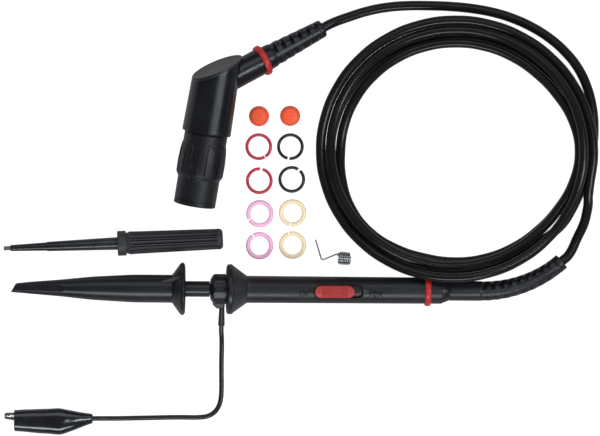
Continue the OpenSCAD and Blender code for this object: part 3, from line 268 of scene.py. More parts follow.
def plastic(name, colour, other, gloss, grain_size, depth, rub_and_highlight_colour=(0.2, 0.2, 0.2), rub_strength=0.4, dust=0.1,
            coat=0.0, specular=0.5, metal=0.0):
    """A plastic or metal surface: two near colours, a range of roughness, a grain and edges painted paler, rubbed
    ones and on the plug's cover a painted highlight.
    """
    material = bpy.data.materials.new(name)
    material.use_nodes = True
    tree = material.node_tree
    skin = tree.nodes["Principled BSDF"]
    for entry, value in (("Metallic", metal), ("Coat Weight", coat), ("Coat Roughness", 0.12),
                         ("Specular IOR Level", specular)):
        skin.inputs[entry].default_value = value
    place, texture, edges = (new_node(tree, kind) for kind in (
        "ShaderNodeTexCoord", "ShaderNodeGroup", "ShaderNodeGroup"))
    texture.node_tree, edges.node_tree = grain, rub
    texture.inputs["Grain"].default_value = grain_size
    edges.inputs["Strength"].default_value = rub_strength
    tones, dusty, worn = (new_node(tree, "ShaderNodeMix") for _ in range(3))
    for mix in (tones, dusty, worn):
        mix.data_type = "RGBA"
    tones.inputs["A"].default_value = (*colour, 1)
    tones.inputs["B"].default_value = (*other, 1)
    dusty.inputs["B"].default_value = (*[min(1, c + dust) for c in colour], 1)
    worn.inputs["B"].default_value = (*rub_and_highlight_colour, 1)
    rough = new_node(tree, "ShaderNodeMapRange", To_Min=gloss[0], To_Max=gloss[1])
    bump = new_node(tree, "ShaderNodeBump", Distance=depth, Strength=1)
    connect(tree, (place, "Object", texture, "Place"), (place, "Object", edges, "Place"),
            (texture, "Shade", tones, "Factor"), (tones, "Result", dusty, "A"), (texture, "Dust", dusty, "Factor"),
            (dusty, "Result", worn, "A"), (edges, "Mask", worn, "Factor"), (worn, "Result", skin, "Base Color"),
            (texture, "Shade", rough, "Value"), (rough, "Result", skin, "Roughness"),
            (texture, "Height", bump, "Height"), (bump, "Normal", skin, "Normal"))
    return material


sheath = plastic("cable_sheath", (0.0060, 0.0060, 0.0066), (0.0090, 0.0090, 0.0098), (0.17, 0.25), 2200, 0.000003,
                 dust=0.01, rub_strength=0, specular=0.32)


def lay_cord(name, route, diameter, material, body):
    """A flexible round cord along points in millimetres."""
    curve = bpy.data.curves.new(name, "CURVE")
    curve.dimensions = "3D"
    curve.bevel_depth = diameter / 2000
    curve.bevel_resolution = curve.resolution_u = 5
    curve.use_fill_caps = True
    spline = curve.splines.new("BEZIER")
    spline.bezier_points.add(len(route) - 1)
    for point, at in zip(spline.bezier_points, route):
        point.co = Vector(at) / 1000
        point.handle_left_type = point.handle_right_type = "AUTO"
    curve.materials.append(material)
    cord = linked(name, curve)
    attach(cord, body)
    return cord


probe_cable = lay_cord("cable_from_probe", probe_route, CABLE_D, sheath, "probe")
coiled_cable = lay_cord("cable_loops", coil_route, CABLE_D, sheath, "probe")
plug_cable = lay_cord("cable_to_plug", plug_route, CABLE_D, sheath, "probe")
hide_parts("cable_probe_end")
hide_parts("cable_coil")
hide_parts("cable_connector_end")

# ---------- Shapes ----------
# What the pieces below are made with. Their points are in millimetres, in each piece's own frame.


def raw_mesh(name, points, faces, place, material):
    """A mesh from millimetre points in a piece's own frame, put where that piece lies."""
    mesh = bpy.data.meshes.new(name)
    mesh.from_pydata([(place @ Vector(p)) / 1000 for p in points], [], faces)
    mesh.materials.append(material)
    return mesh


def closed(mesh):
    """The mesh with its doubled points merged and its faces turned outwards."""
    shape = bmesh.new()
    shape.from_mesh(mesh)
    bmesh.ops.remove_doubles(shape, verts=shape.verts, dist=1e-7)
    bmesh.ops.recalc_face_normals(shape, faces=shape.faces)
    shape.to_mesh(mesh)
    shape.free()
    return mesh


def finish_piece(name, mesh, body, replaced, sharp=40):
    """The mesh as a visible piece, smooth but for edges sharper than some degrees."""
    closed(mesh).shade_smooth()
    mesh.set_sharp_from_angle(angle=radians(sharp))
    piece = linked(name, mesh)
    if body:
        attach(piece, body)
    if replaced:
        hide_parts(*replaced)
    return piece


def laid(name, points, faces, place, material, body, replaced, slot, sharp=40):
    """A visible piece from its points and faces."""
    return finish_piece(name, raw_mesh(name, points, faces, place, material), body, replaced, sharp)


def softened(corners, radius, steps=4):
    """A closed outline of (r, z) corners with each corner rounded; a corner may carry its own radius."""
    outline = []
    for i, corner in enumerate(corners):
        own = corner[2] if len(corner) > 2 else radius
        here = Vector(corner[:2])
        back, ahead = Vector(corners[i - 1][:2]) - here, Vector(corners[(i + 1) % len(corners)][:2]) - here
        if own <= 0 or back.length < 1e-6 or ahead.length < 1e-6:
            outline.append(tuple(here))
            continue
        half = back.angle(ahead) / 2
        reach = min(own / max(0.05, sin(half) / cos(half)), 0.45 * back.length, 0.45 * ahead.length)
        first, last = here + back.normalized() * reach, here + ahead.normalized() * reach
        for k in range(steps + 1):
            t = k / steps
            outline.append(tuple(first * (1 - t) ** 2 + here * 2 * t * (1 - t) + last * t ** 2))
    return outline


def circle(radius, sides=64):
    """The corners of a circle."""
    return [(radius * cos(2 * pi * k / sides), radius * sin(2 * pi * k / sides)) for k in range(sides)]


def turned(outline, sides=96):
    """Points and faces of a closed (r, z) outline spun round z; r = 0 closes on the axis."""
    points = [(x, y, z) for r, z in outline for x, y in circle(r, sides)]
    faces = []
    for i, (r, _) in enumerate(outline):
        j = (i + 1) % len(outline)
        if r >= 1e-6 or outline[j][0] >= 1e-6:
            faces += [(i * sides + k, i * sides + (k + 1) % sides, j * sides + (k + 1) % sides, j * sides + k)
                      for k in range(sides)]
    return points, faces


def tube_faces(rows, sides, capped=False):
    """Faces of rows of points round a tube, which closes on itself or, when capped, by two end faces."""
    faces = [(i * sides + k, i * sides + (k + 1) % sides, (i + 1) % rows * sides + (k + 1) % sides,
              (i + 1) % rows * sides + k) for i in range(rows - 1 if capped else rows) for k in range(sides)]
    if capped:
        faces += [tuple(range(sides)), tuple((rows - 1) * sides + k for k in range(sides))]
    return faces


def skin_of(stations, angles, radius, inner):
    """A tube whose outside is radius(angle, z) and whose inside is inner(z), over uneven steps."""
    wide, rows = len(angles), len(stations)
    points = [(radius(a, z) * cos(a), radius(a, z) * sin(a), z) for z in stations for a in angles]
    points += [(inner(z) * cos(a), inner(z) * sin(a), z) for z in stations for a in angles]
    outside = tube_faces(rows, wide, True)[:-2]
    ends = [(row * wide + k, row * wide + (k + 1) % wide, (rows + row) * wide + (k + 1) % wide,
             (rows + row) * wide + k) for row in (0, rows - 1) for k in range(wide)]
    return points, outside + [tuple(rows * wide + v for v in face) for face in outside] + ends


def eased(v, soft):
    """0 on one side of an edge and 1 on the other, with a rounded step of a given width."""
    t = min(1, max(0, v / soft + 0.5))
    return t * t * (3 - 2 * t)


def rounding(left, radius):
    """How far an edge of some radius has drawn in where a length is left to its end."""
    return radius * (1 - sqrt(1 - min(1, max(0, 1 - left / radius)) ** 2))


def spaced(breaks, steps):
    """Rising values through the breaks, each stretch in its own step."""
    values = [breaks[0]]
    for a, b, step in zip(breaks, breaks[1:], steps):
        n = max(1, ceil((b - a) / step))
        values += [a + (b - a) * (k + 1) / n for k in range(n)]
    return values


# ---------- Barrel ----------
# A tapered tube of black moulded plastic, 72 mm long, with a window for the range switch. The
# two ranges are marked on it in low raised figures.

BARREL_FROM, BARREL_LEN, BARREL_R, BARREL_TAPER, WALL = 7.6, 72, 5, 0.15, 1.1
SLIDER_AT, SLIDER_LEN, SLIDER_W, TRAVEL, ROLL = 32.4, 14.7, 4.5, 3, radians(8)
WINDOW_GAP, WINDOW_LIP, WINDOW_DEPTH, TAIL_EDGE = 0.15, 0.1, 1.08, 0.3
BLACK, PALE_BLACK, COOL_BLACK = (0.0055, 0.006, 0.0085), (0.0095, 0.010, 0.0130), (0.0095, 0.010, 0.0135)
moulded = plastic("moulded_black", BLACK, COOL_BLACK, (0.32, 0.42), 5200, 0.000035, (0.07, 0.07, 0.075), dust=0.03)
figures = plastic("raised_figures", (0.004, 0.004, 0.005), (0.007, 0.007, 0.008), (0.6, 0.75), 5200, 0.00002,
                  rub_strength=0, dust=0, specular=0.08)


def window_edge(z, across):
    """How far a point lies inside the switch's window, a slot with round ends."""
    middle = min(max(z, SLIDER_AT + SLIDER_W / 2), SLIDER_AT + SLIDER_LEN + TRAVEL - SLIDER_W / 2)
    return SLIDER_W / 2 + WINDOW_GAP - hypot(across, z - middle)


def plain_barrel(z):
    """The barrel's radius without its window."""
    return BARREL_R - BARREL_TAPER * (z - BARREL_FROM) / BARREL_LEN


def barrel_radius(a, z):
    """The barrel's radius, with a low lip round the window and a soft edge at the tail."""
    r = plain_barrel(z)
    if cos(a - ROLL) > 0.6:
        edge = window_edge(z, r * sin(a - ROLL))
        r += WINDOW_LIP * exp(-((edge + 0.12) / 0.16) ** 2) - WINDOW_DEPTH * eased(edge, 0.16)
    return r - 0.12 * max(0, z - BARREL_FROM - BARREL_LEN + TAIL_EDGE) / TAIL_EDGE


barrel_turns = [radians(v) for v in spaced((-28, -26, -14, 30, 42, 332), (1, 0.75, 2, 0.75, 4))[:-1]]
barrel_rows = spaced((7.6, 31.8, 35.2, 47.4, 50.6, 79.1, 79.6), (2.5, 0.16, 0.8, 0.16, 2.5, 0.1))
laid("barrel_skin", *skin_of(barrel_rows, barrel_turns, barrel_radius, lambda z: BARREL_R - WALL), PROBE,
     moulded, "probe", ["barrel_shell"], "black_plastic")

FIGURE_HIGH, FIGURE_PROUD = 2.1, 0.08


def raised_figure(name, words, middle, wide, down):
    """Low figures that follow the barrel; they read from the guard to the tail."""
    curve = bpy.data.curves.new(name, "FONT")
    curve.body = words
    curve.extrude = 0.5
    sign = linked(name, curve)
    shape = bmesh.new()
    shape.from_mesh(bpy.data.meshes.new_from_object(sign))
    bpy.data.objects.remove(sign)
    low, top = ([f(v.co[i] for v in shape.verts) for i in (0, 1)] for f in (min, max))
    for k in range(1, 12):
        level = low[1] + (top[1] - low[1]) * k / 12
        bmesh.ops.bisect_plane(shape, geom=shape.verts[:] + shape.edges[:] + shape.faces[:],
                               plane_co=(0, level, 0), plane_no=(0, 1, 0))
    for v in shape.verts:
        along = middle + ((v.co.x - low[0]) / (top[0] - low[0]) - 0.5) * wide
        across = down - ((v.co.y - low[1]) / (top[1] - low[1]) - 0.5) * FIGURE_HIGH
        r = plain_barrel(along)
        angle = asin(across / r)
        r += FIGURE_PROUD * v.co.z
        v.co = (PROBE @ Vector((r * cos(angle), r * sin(angle), along))) / 1000
    mesh = bpy.data.meshes.new(name)
    shape.to_mesh(mesh)
    shape.free()
    mesh.materials.append(figures)
    return finish_piece(name, mesh, "probe", None)


raised_figure("mark_1x", "1X", 28.6, 3.1, 1.35)
raised_figure("mark_10x", "10X", 55.2, 5.0, 1.35)

# ---------- Finger guard ----------
# A moulded collar that keeps the fingers off the tip, pressed into the front of the barrel. Its
# rim is 18.5 mm across and the probe rests on it.

guard_shape = softened([
    (2.5, 0, 0), (7.9, 0, 0.3), (8.65, 0.1, 0.5), (9.25, 0.7, 0.45), (9.25, 2.0, 0.5), (8.6, 2.7, 0.5),
    (6.25, 5.9, 1.6), (5.0, 7.6, 0.6), (3.88, 7.6, 0), (3.88, 13.6, 0), (2.5, 13.6, 0)], 0.3, 5)
laid("guard", *turned(guard_shape), PROBE, moulded, "probe", ["front_guard"], "black_plastic")

# ---------- Range switch ----------
# A red slider in the barrel's window, with fine cross ribs for the thumb between plain ends. It
# slides 3 mm towards the tail.

switch_red = plastic("slider_red", (0.385, 0.025, 0.023), (0.335, 0.020, 0.019), (0.4, 0.5), 3500, 0.00002,
                     rub_and_highlight_colour=(0.8, 0.2, 0.15), rub_strength=0.25, dust=0.02)
SLIDER_R, SLIDER_FOOT, RIB_STEP, RIB_DEPTH, RIBBED_HALF, EDGE_DROP = 5.62, 2.3, 0.68, 0.19, 4.75, 0.28


def slider_point(along, side):
    """A point of the slider's top; along 0-1 from the guard's end, side -1 to 1."""
    z = SLIDER_AT + SLIDER_LEN * along
    end = min(z - SLIDER_AT, SLIDER_AT + SLIDER_LEN - z)
    half = SLIDER_W / 2
    across = side * sqrt(max(0, half ** 2 - max(0, half - end) ** 2))
    r = SLIDER_R
    ribs = z - (SLIDER_AT + SLIDER_LEN / 2)
    if abs(ribs) < RIBBED_HALF:
        r -= RIB_DEPTH * (1 - cos(2 * pi * (ribs + RIBBED_HALF) / RIB_STEP)) / 2 * eased(0.86 - abs(side), 0.1)
    r -= EDGE_DROP * (max(0, (abs(side) - 0.8) / 0.2) ** 2 + max(0, (0.5 - end) / 0.5) ** 2)
    angle = ROLL + asin(across / 5.3)
    return (r * cos(angle), r * sin(angle), z)


rows = [0.0, 0.003, 0.01, 0.02, 0.035, 0.055, 0.08, 0.11]
rows += [round(0.14 + 0.72 * k / 128, 5) for k in range(129)] + [0.89, 0.92, 0.945, 0.965, 0.98, 0.99, 0.997, 1.0]
sides = [-1, -0.97, -0.93, -0.88, -0.82, -0.6, -0.3, 0, 0.3, 0.6, 0.82, 0.88, 0.93, 0.97, 1]
wide, last = len(sides), len(rows) - 1
slider_points = [slider_point(a, s) for a in rows for s in sides]
slider_faces = [(i * wide + k, i * wide + k + 1, (i + 1) * wide + k + 1, (i + 1) * wide + k)
                for i in range(last) for k in range(wide - 1)]
rim = ([i * wide for i in range(last + 1)] + [last * wide + k for k in range(1, wide)]
       + [i * wide + wide - 1 for i in range(last - 1, -1, -1)] + list(range(wide - 2, 0, -1)))
foot_from = len(slider_points)
for k in rim:
    lowered = Matrix.Rotation(-ROLL, 3, "Z") @ Vector(slider_points[k])
    lowered.x = SLIDER_FOOT
    slider_points.append(tuple(Matrix.Rotation(ROLL, 3, "Z") @ lowered))
slider_faces += [(rim[k], rim[(k + 1) % len(rim)], foot_from + (k + 1) % len(rim), foot_from + k)
                 for k in range(len(rim))]
slider_faces.append(tuple(foot_from + k for k in range(len(rim))))
laid("slider", slider_points, slider_faces, PROBE, switch_red, "switch_slider", ["switch_slider"], "red_plastic", 50)

# ---------- Marker rings on the probe and the plug ----------
# Two soft red rings, stretched over the barrel's tail and the plug's arm so that both ends of
# one cable can be told from the next.

band_red = plastic("marker_red", (0.47, 0.014, 0.016), (0.38, 0.010, 0.012), (0.3, 0.42), 2600, 0.00002,
                   rub_and_highlight_colour=(0.85, 0.2, 0.16), rub_strength=0.2, dust=0.02)
BAND_STEP, BAND_CROWN = 0.15, 0.75


def marker_band(name, inner, middle, place, node):
    """A stretched ring with a rounded crown between two low steps."""
    half = BAND_W / 2
    crown = [radians(a) for a in range(-90, 91, 9)]
    outline = ([(inner, middle - half)]
               + [(inner + BAND_STEP + BAND_CROWN * cos(a) ** 0.7, middle + half * sin(a)) for a in crown]
               + [(inner, middle + half)])
    return laid(name, *turned(outline), place, band_red, "probe", [node], "red_plastic", 60)


marker_band("barrel_ring", 4.87, RING_AT, PROBE, "barrel_marker_ring")
plug_ring = marker_band("arm_ring", 4.97, ARM_RING_AT, ARM, "arm_marker_ring")

# ---------- Strain reliefs ----------
# Soft black sleeves moulded over the cable where it leaves the barrel and the plug. Ribs round a
# thin core bend easily. Two ridges, above and below, and a thin rail at each side join them.

relief_black = plastic("relief_black", BLACK, PALE_BLACK, (0.3, 0.4), 4200, 0.000008, (0.07, 0.07, 0.075), dust=0.03)
relief_ribs, ribs_in, ribs_out = node_group("relief_ribs", "GeometryNodeTree", [
    ("Line", "Geometry"), ("Ribs", "Int"), ("First Radius", "Float"), ("Last Radius", "Float"),
    ("Thickness", "Float"), ("Edge", "Float"), ("Material", "Material")], [("Ribs Made", "Geometry")])
line, stations, disc, whole, on_points, facing, tangent, along_line, taper, rib_size, real_ribs, painted = (
    new_node(relief_ribs, kind) for kind in (
        "GeometryNodeMeshToCurve", "GeometryNodeResampleCurve", "GeometryNodeMeshCylinder",
        "GeometryNodeJoinGeometry", "GeometryNodeInstanceOnPoints", "FunctionNodeAlignRotationToVector",
        "GeometryNodeInputTangent", "GeometryNodeSplineParameter", "ShaderNodeMapRange", "ShaderNodeCombineXYZ",
        "GeometryNodeRealizeInstances", "GeometryNodeSetMaterial"))
# One rib is a disc of unit radius between two thin bevelled edges
low_edge = new_node(relief_ribs, "GeometryNodeMeshCone", Radius_Top=1, Radius_Bottom=0.93)
top_edge = new_node(relief_ribs, "GeometryNodeMeshCone", Radius_Top=0.93, Radius_Bottom=1)
disc.inputs["Radius"].default_value = 1
for part in (disc, low_edge, top_edge):
    part.inputs["Vertices"].default_value = 64
    part.fill_type = "NGON"
half_rib, two_edges = (maths(relief_ribs, "MULTIPLY", times) for times in (0.5, 2))
flat, inner_end = (maths(relief_ribs, "SUBTRACT") for _ in range(2))
facing.axis = "Z"
rib_size.inputs["Z"].default_value = 1
connect(relief_ribs, (ribs_in, "Line", line, "Mesh"), (line, "Curve", stations, "Curve"),
        (ribs_in, "Ribs", stations, "Count"), (ribs_in, "Thickness", half_rib, 0), (ribs_in, "Edge", two_edges, 0),
        (ribs_in, "Thickness", flat, 0), (two_edges, 0, flat, 1), (flat, 0, disc, "Depth"), (disc, "Mesh", whole, 0),
        (half_rib, 0, inner_end, 0), (ribs_in, "Edge", inner_end, 1))
for part, sign, edge_height in ((low_edge, -1, half_rib), (top_edge, 1, inner_end)):
    up, carried, signed = (new_node(relief_ribs, "ShaderNodeCombineXYZ"),
                           new_node(relief_ribs, "GeometryNodeTransform"), maths(relief_ribs, "MULTIPLY", sign))
    connect(relief_ribs, (ribs_in, "Edge", part, "Depth"), (edge_height, 0, signed, 0), (signed, 0, up, "Z"),
            (up, 0, carried, "Translation"), (part, "Mesh", carried, "Geometry"), (carried, "Geometry", whole, 0))
connect(relief_ribs, (tangent, 0, facing, "Vector"), (along_line, "Factor", taper, "Value"),
        (ribs_in, "First Radius", taper, "To Min"), (ribs_in, "Last Radius", taper, "To Max"),
        (taper, "Result", rib_size, "X"), (taper, "Result", rib_size, "Y"), (stations, "Curve", on_points, "Points"),
        (whole, "Geometry", on_points, "Instance"), (facing, "Rotation", on_points, "Rotation"),
        (rib_size, 0, on_points, "Scale"), (on_points, "Instances", real_ribs, "Geometry"),
        (real_ribs, "Geometry", painted, "Geometry"), (ribs_in, "Material", painted, "Material"),
        (painted, "Geometry", ribs_out, "Ribs Made"))


def plain_mesh(stand, *guests):
    """The mesh an object has after its modifiers; it and its guests are then removed."""
    bpy.context.view_layer.update()
    made = bpy.data.meshes.new_from_object(stand.evaluated_get(bpy.context.evaluated_depsgraph_get()))
    for each in (stand, *guests):
        bpy.data.objects.remove(each)
    return made


def grown(name, mesh, tree, **sizes):
    """The plain mesh that a Geometry Nodes tree makes from a mesh, with its named inputs set."""
    stand = linked(name, mesh)
    growth = stand.modifiers.new("growth", "NODES")
    growth.node_group = tree
    for item in tree.interface.items_tree:
        if item.item_type == "SOCKET" and item.in_out == "INPUT" and item.name.replace(" ", "_") in sizes:
            growth[item.identifier] = sizes[item.name.replace(" ", "_")]
    made = plain_mesh(stand)
    made.name = name
    return made


def swept(frames, section):
    """Points and faces of a closed tube; frames are (middle, across, up), section(i) its outline there."""
    points, sides = [], 0
    for i, (middle, across, up) in enumerate(frames):
        outline = section(i)
        sides = len(outline)
        points += [middle + across * x + up * y for x, y in outline]
    return points, tube_faces(len(frames), sides, True)


def ridge_of(width, radius):
    """Two opposite ridges, above and below, that follow the sleeve's round."""
    top = [(width * (k / 10 - 0.5), sqrt(radius ** 2 - (width * (k / 10 - 0.5)) ** 2)) for k in range(11)]
    return top + [(-x, -y) for x, y in top]


def rail_of(width, radius, deep):
    """A thin rail at one side, whose outer face follows the sleeve's round."""
    outer = [(width * (0.5 - k / 6), sqrt(radius ** 2 - (width * (0.5 - k / 6)) ** 2)) for k in range(7)]
    return outer + [(-width / 2, radius - deep), (width / 2, radius - deep)]


RIDGE_STEPS, LINE_STEPS, RIDGE_INSET, RAIL_W, RAIL_DEEP, RIB_EDGE = 24, 40, 0.04, 0.9, 1.3, 0.00012


def strain_relief(name, place, centre, plain, ribs, first_rib, last_rib, thick, end, core, spine, node):
    """plain and end are stretches (from, to, radius, radius) of smooth sleeve, spine is (turn, width)."""
    points, faces = [], []

    def add(made):
        """Take in one more closed body, given as (points, faces)."""
        start = len(points)
        points.extend(made[0])
        faces.extend(tuple(start + v for v in face) for face in made[1])

    for start, stop, r1, r2 in (*plain, end):
        steps = max(2, ceil((stop - start) / 1.5))
        soft = min(0.25, (stop - start) / 4)
        stations = sorted({start, start + soft * 0.3, start + soft, stop - soft, stop - soft * 0.3, stop}
                          | {start + (stop - start) * k / steps for k in range(steps + 1)})
        add(swept([centre(s) for s in stations], lambda i: circle(
            r1 + (r2 - r1) * (stations[i] - start) / (stop - start)
            - rounding(min(stations[i] - start, stop - stations[i]), soft))))
    run = [plain[-1][1] + (end[0] - plain[-1][1]) * k / RIDGE_STEPS for k in range(RIDGE_STEPS + 1)]
    add(swept([centre(s) for s in run], lambda i: circle(core, 48)))

    def ridge_frame(s, turned_by):
        """The frame at a place along the relief, turned round its line."""
        middle, across, up = centre(s)
        a = radians(spine[0] + turned_by)
        return middle, up * cos(a) - across * sin(a), across * cos(a) + up * sin(a)

    def rib_r(i):
        """The ribs' radius beside step i of the ridges."""
        return first_rib + (last_rib - first_rib) * i / RIDGE_STEPS - RIDGE_INSET

    add(swept([ridge_frame(s, 0) for s in run], lambda i: ridge_of(spine[1], rib_r(i))))
    for side in (-90, 90):
        add(swept([ridge_frame(s, side) for s in run], lambda i: rail_of(RAIL_W, rib_r(i), RAIL_DEEP)))
    mesh = bpy.data.meshes.new(name + "_line")
    middles = [place @ centre(ribs[0] + (ribs[1] - ribs[0]) * k / LINE_STEPS)[0] / 1000
               for k in range(LINE_STEPS + 1)]
    mesh.from_pydata(middles, [(k, k + 1) for k in range(LINE_STEPS)], [])
    rib_mesh = grown(name + "_ribs", mesh, relief_ribs, Ribs=ribs[2], First_Radius=first_rib / 1000,
                     Last_Radius=last_rib / 1000, Thickness=thick / 1000, Edge=RIB_EDGE, Material=relief_black)
    whole_mesh = raw_mesh(name, points, faces, place, relief_black)
    shape = bmesh.new()
    shape.from_mesh(whole_mesh)
    shape.from_mesh(rib_mesh)
    shape.to_mesh(whole_mesh)
    shape.free()
    for face in whole_mesh.polygons:
        face.material_index = 0
    return finish_piece(name, whole_mesh, "probe", [node], 35)


def barrel_relief_centre(s):
    """Straight up to 0 and then round the bend, which turns towards -y."""
    a = max(0, s) / BEND_R
    return (Vector((0, BEND_R * (cos(a) - 1), BEND_FROM + BEND_R * sin(a) + min(0, s))),
            Vector((1, 0, 0)), Vector((0, cos(a), sin(a))))


GAP = 1.5
pitch = BEND_R * radians(BEND_ANGLE) / 9.9
strain_relief("barrel_relief", PROBE, barrel_relief_centre,
              [(-20.8, -14.8, 3.65, 3.65), (-14.8, -12.2, 4.65, 3.65), (-12.2, 0, 3.65, 3.65)],
              (pitch - (pitch - GAP) / 2, 9 * pitch - (pitch - GAP) / 2, 9), 3.59, 3.1, pitch - GAP,
              (9 * pitch - 0.02, 9.9 * pitch, 3.1, 3.1), 2.4, (12, 2.4), "probe_relief")


def upright(z):
    """A frame that stands on the axis at a height."""
    return Vector((0, 0, z)), Vector((1, 0, 0)), Vector((0, 1, 0))


ARM_PITCH, ARM_RIB = 3.52, 2.02
first_at = 3.4 + GAP + ARM_RIB / 2
plug_relief = strain_relief("plug_relief", ARM, lambda s: upright(ARM_RING_AT + BAND_W / 2 + s),
                            [(-5, 0, 3.3, 3.3), (0, 3.4, 4.65, 4.44)], (first_at, first_at + 4 * ARM_PITCH, 5), 4.28,
                            3.5, ARM_RIB, (22.5, ARM_RELIEF_LEN, 3.42, 3.3), 2.4, (-88, 2.9), "arm_relief")

# ---------- Ground lead: collar, boot and wire ----------
# A moulded collar with seven flats that turns on the nose, a small soft boot on its lug, and a
# limp black wire that runs down to the table and into the clip.

LEAD = PROBE @ turn("Z", 25)
COLLAR_FROM, COLLAR_TO, FLAT_R, LUG_Z = -5.9, -0.2, 5.3, -1.5
soft_black = plastic("soft_black", BLACK, PALE_BLACK, (0.36, 0.46), 3800, 0.00002, (0.07, 0.07, 0.075), dust=0.03)


def stepped(value, table):
    """Straight interpolation in a table of (place, size) rows."""
    for (a, low), (b, high) in zip(table, table[1:]):
        if value <= b:
            return low + (high - low) * max(0, value - a) / (b - a)
    return table[-1][1]


def collar_radius(a, z):
    """The collar's round, with a flat at each eighth of a turn but the lug's."""
    r = stepped(z - COLLAR_FROM, [(0, 3.55), (0.12, 3.85), (0.85, 4.98), (1.1, 5.3), (1.4, 5.5), (1.7, 5.58),
                                  (2.1, 5.6)]) - rounding(COLLAR_TO - z, 0.3)
    eighth = (degrees(a) - 90) / 45
    near = round(eighth)
    if near % 8:
        off = radians((eighth - near) * 45)
        flat = FLAT_R / cos(off)
        r = min(r, r + (flat - r) * eased(1.2 - abs(5.4 * sin(off)), 0.14))
    return r


collar_turns = [radians(90 + 45 * k + v) for k in range(8)
                for v in spaced((-22.5, -14, -11.4, 11.4, 14, 22.5), (2.8, 0.45, 2.85, 0.45, 2.8))[:-1]]
collar_rows = spaced((-5.9, -5.78, -5.1, -5.09, -3.8, -0.5, -0.2), (0.06, 0.17, 0.1, 0.14, 0.8, 0.05))
laid("collar", *skin_of(collar_rows, collar_turns, collar_radius, lambda z: 2.7 if z < -5.095 else 3.4), LEAD,
     moulded, "ground_lead", ["ground_collar"], "black_plastic", 32)


def lug_section(y):
    """The lug's rounded section at some height over the nose's axis."""
    low = -4.9 if y < 5.6 else -4.9 + 1.3 * (y - 5.6) / 1.4
    inset = rounding(7 - y, 0.3)
    half = 2.2 - inset
    corners = [(-half, low + inset), (half, low + inset), (half, -0.5 - inset), (-half, -0.5 - inset)]
    return softened(corners, 0.7 - inset, 6)


lug_rows = [4.6, 5.6, 6.2, 6.7, 6.8, 6.88, 6.94, 6.98, 7.0]
laid("collar_lug", *swept([(Vector((0, y, 0)), Vector((1, 0, 0)), Vector((0, 0, 1))) for y in lug_rows],
                          lambda i: lug_section(lug_rows[i])), LEAD, moulded, "ground_lead", None,
     "black_plastic", 32)
BOOT = LEAD @ moved(0, 7, LUG_Z) @ turn("X", -90)
boot_shape = softened([(0, 0.02, 0), (0.95, 0.02, 0), (1.0, 1.3, 0.3), (1.25, 7.7, 0.25), (0.94, 7.7, 0.1),
                       (0.94, 7.2, 0), (0, 7.2, 0)], 0.2, 5)
laid("boot", *turned(boot_shape, 48), BOOT, soft_black, "ground_lead", ["lead_boot"], "black_plastic", 50)


def lead_point(y):
    """A point in line with the boot, at a height over the nose's axis."""
    return LEAD @ Vector((0, y, LUG_Z))


CLIP_X, CLIP_Y, WIRE_D = -71.3, -74.8, 1.8
wire_route = ([lead_point(14.7), lead_point(14.7 + 1.2 * WIRE_D), Vector((-23.6, -45.4, 1.3)),
               Vector((-23.6, -49.4, 0.95))]
              + [Vector((x, y, 0.92)) for x, y in (
                  (-23.7, -53.8), (-23.7, -58.8), (-23.7, -63.8), (-23.9, -67.2), (-24.6, -70), (-26.2, -72.4),
                  (-28.7, -73.9), (-32.3, -74.4), (-36.7, -74.4), (-41.7, -74.4), (-46.7, -74.5), (-51.7, -74.6),
                  (-56.7, -74.7), (-61.7, -74.8))]
              + [Vector((-66.1, -74.8, 1.1)), Vector((CLIP_X + 2.7, CLIP_Y, 1.6)),
                 Vector((CLIP_X + 0.05, CLIP_Y, 1.7))])
wire_skin = plastic("wire_skin", (0.009, 0.009, 0.010), (0.013, 0.013, 0.015), (0.24, 0.32), 2600, 0.000001,
                    dust=0.02, rub_strength=0)
lead_wire = lay_cord("lead_wire", wire_route, WIRE_D, wire_skin, "ground_lead")
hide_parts("ground_wire")

# ---------- Crocodile clip ----------
# Two toothed steel jaws on one pivot, inside a loose cover of glossy black vinyl that is open
# at the front. It lies on its side, and the dipped vinyl has small folds and soft corners.

CLIP = moved(CLIP_X, CLIP_Y, 0)
COVER_LEN, COVER_WALL, COVER_SIDES = 28.9, 0.6, 72
# Rows of how far behind the mouth's end, the middle's offset, the height and the thickness
cover_table = [(0, 0, 3.4, 3.4), (6.2, -0.7, 6.7, 5.4), (11.8, -1.1, 10, 6.4), (COVER_LEN, -0.7, 7.8, 6.2)]
vinyl = plastic("glossy_vinyl", BLACK, PALE_BLACK, (0.16, 0.26), 900, 0.00003, (0.05, 0.05, 0.055), dust=0.03,
                coat=0.5)


def blurred(value, table, reach):
    """The table's value, averaged over five places so that its bends are soft."""
    return sum(stepped(max(0, min(table[-1][0], value + reach * d)), table) for d in (-1, -0.5, 0, 0.5, 1)) / 5


def cover_ring(x, wall):
    """The vinyl's outline x behind its mouth end: middle, thickness and half sizes round it."""
    middle, high, thick = (blurred(x, [(row[0], row[item]) for row in cover_table], 1.2) for item in (1, 2, 3))
    ring = [[abs(v) ** 0.88 * (1 if v > 0 else -1) for v in corner] for corner in circle(1, COVER_SIDES)]
    return middle, thick, [((high / 2 - wall) * u, (thick / 2 - wall) * v) for u, v in ring]


def cover_point(x, u, v, middle, thick, wall):
    """One point of the vinyl, with the small folds that the soft sheet keeps."""
    ripple = 0
    if not wall:
        ripple = (noise.noise(Vector((x * 0.22, u * 0.28, v * 0.28 + 7))) * 0.12
                  * min(1, x / 4) * min(1, (COVER_LEN - x) / 3))
    shrink = 1 - max(0, 0.35 - x) * 0.5
    return (-x, middle + u * shrink + ripple * u / 4,
            thick / 2 + max(-thick / 2 + 0.02, v * shrink - abs(ripple) * v / 3))


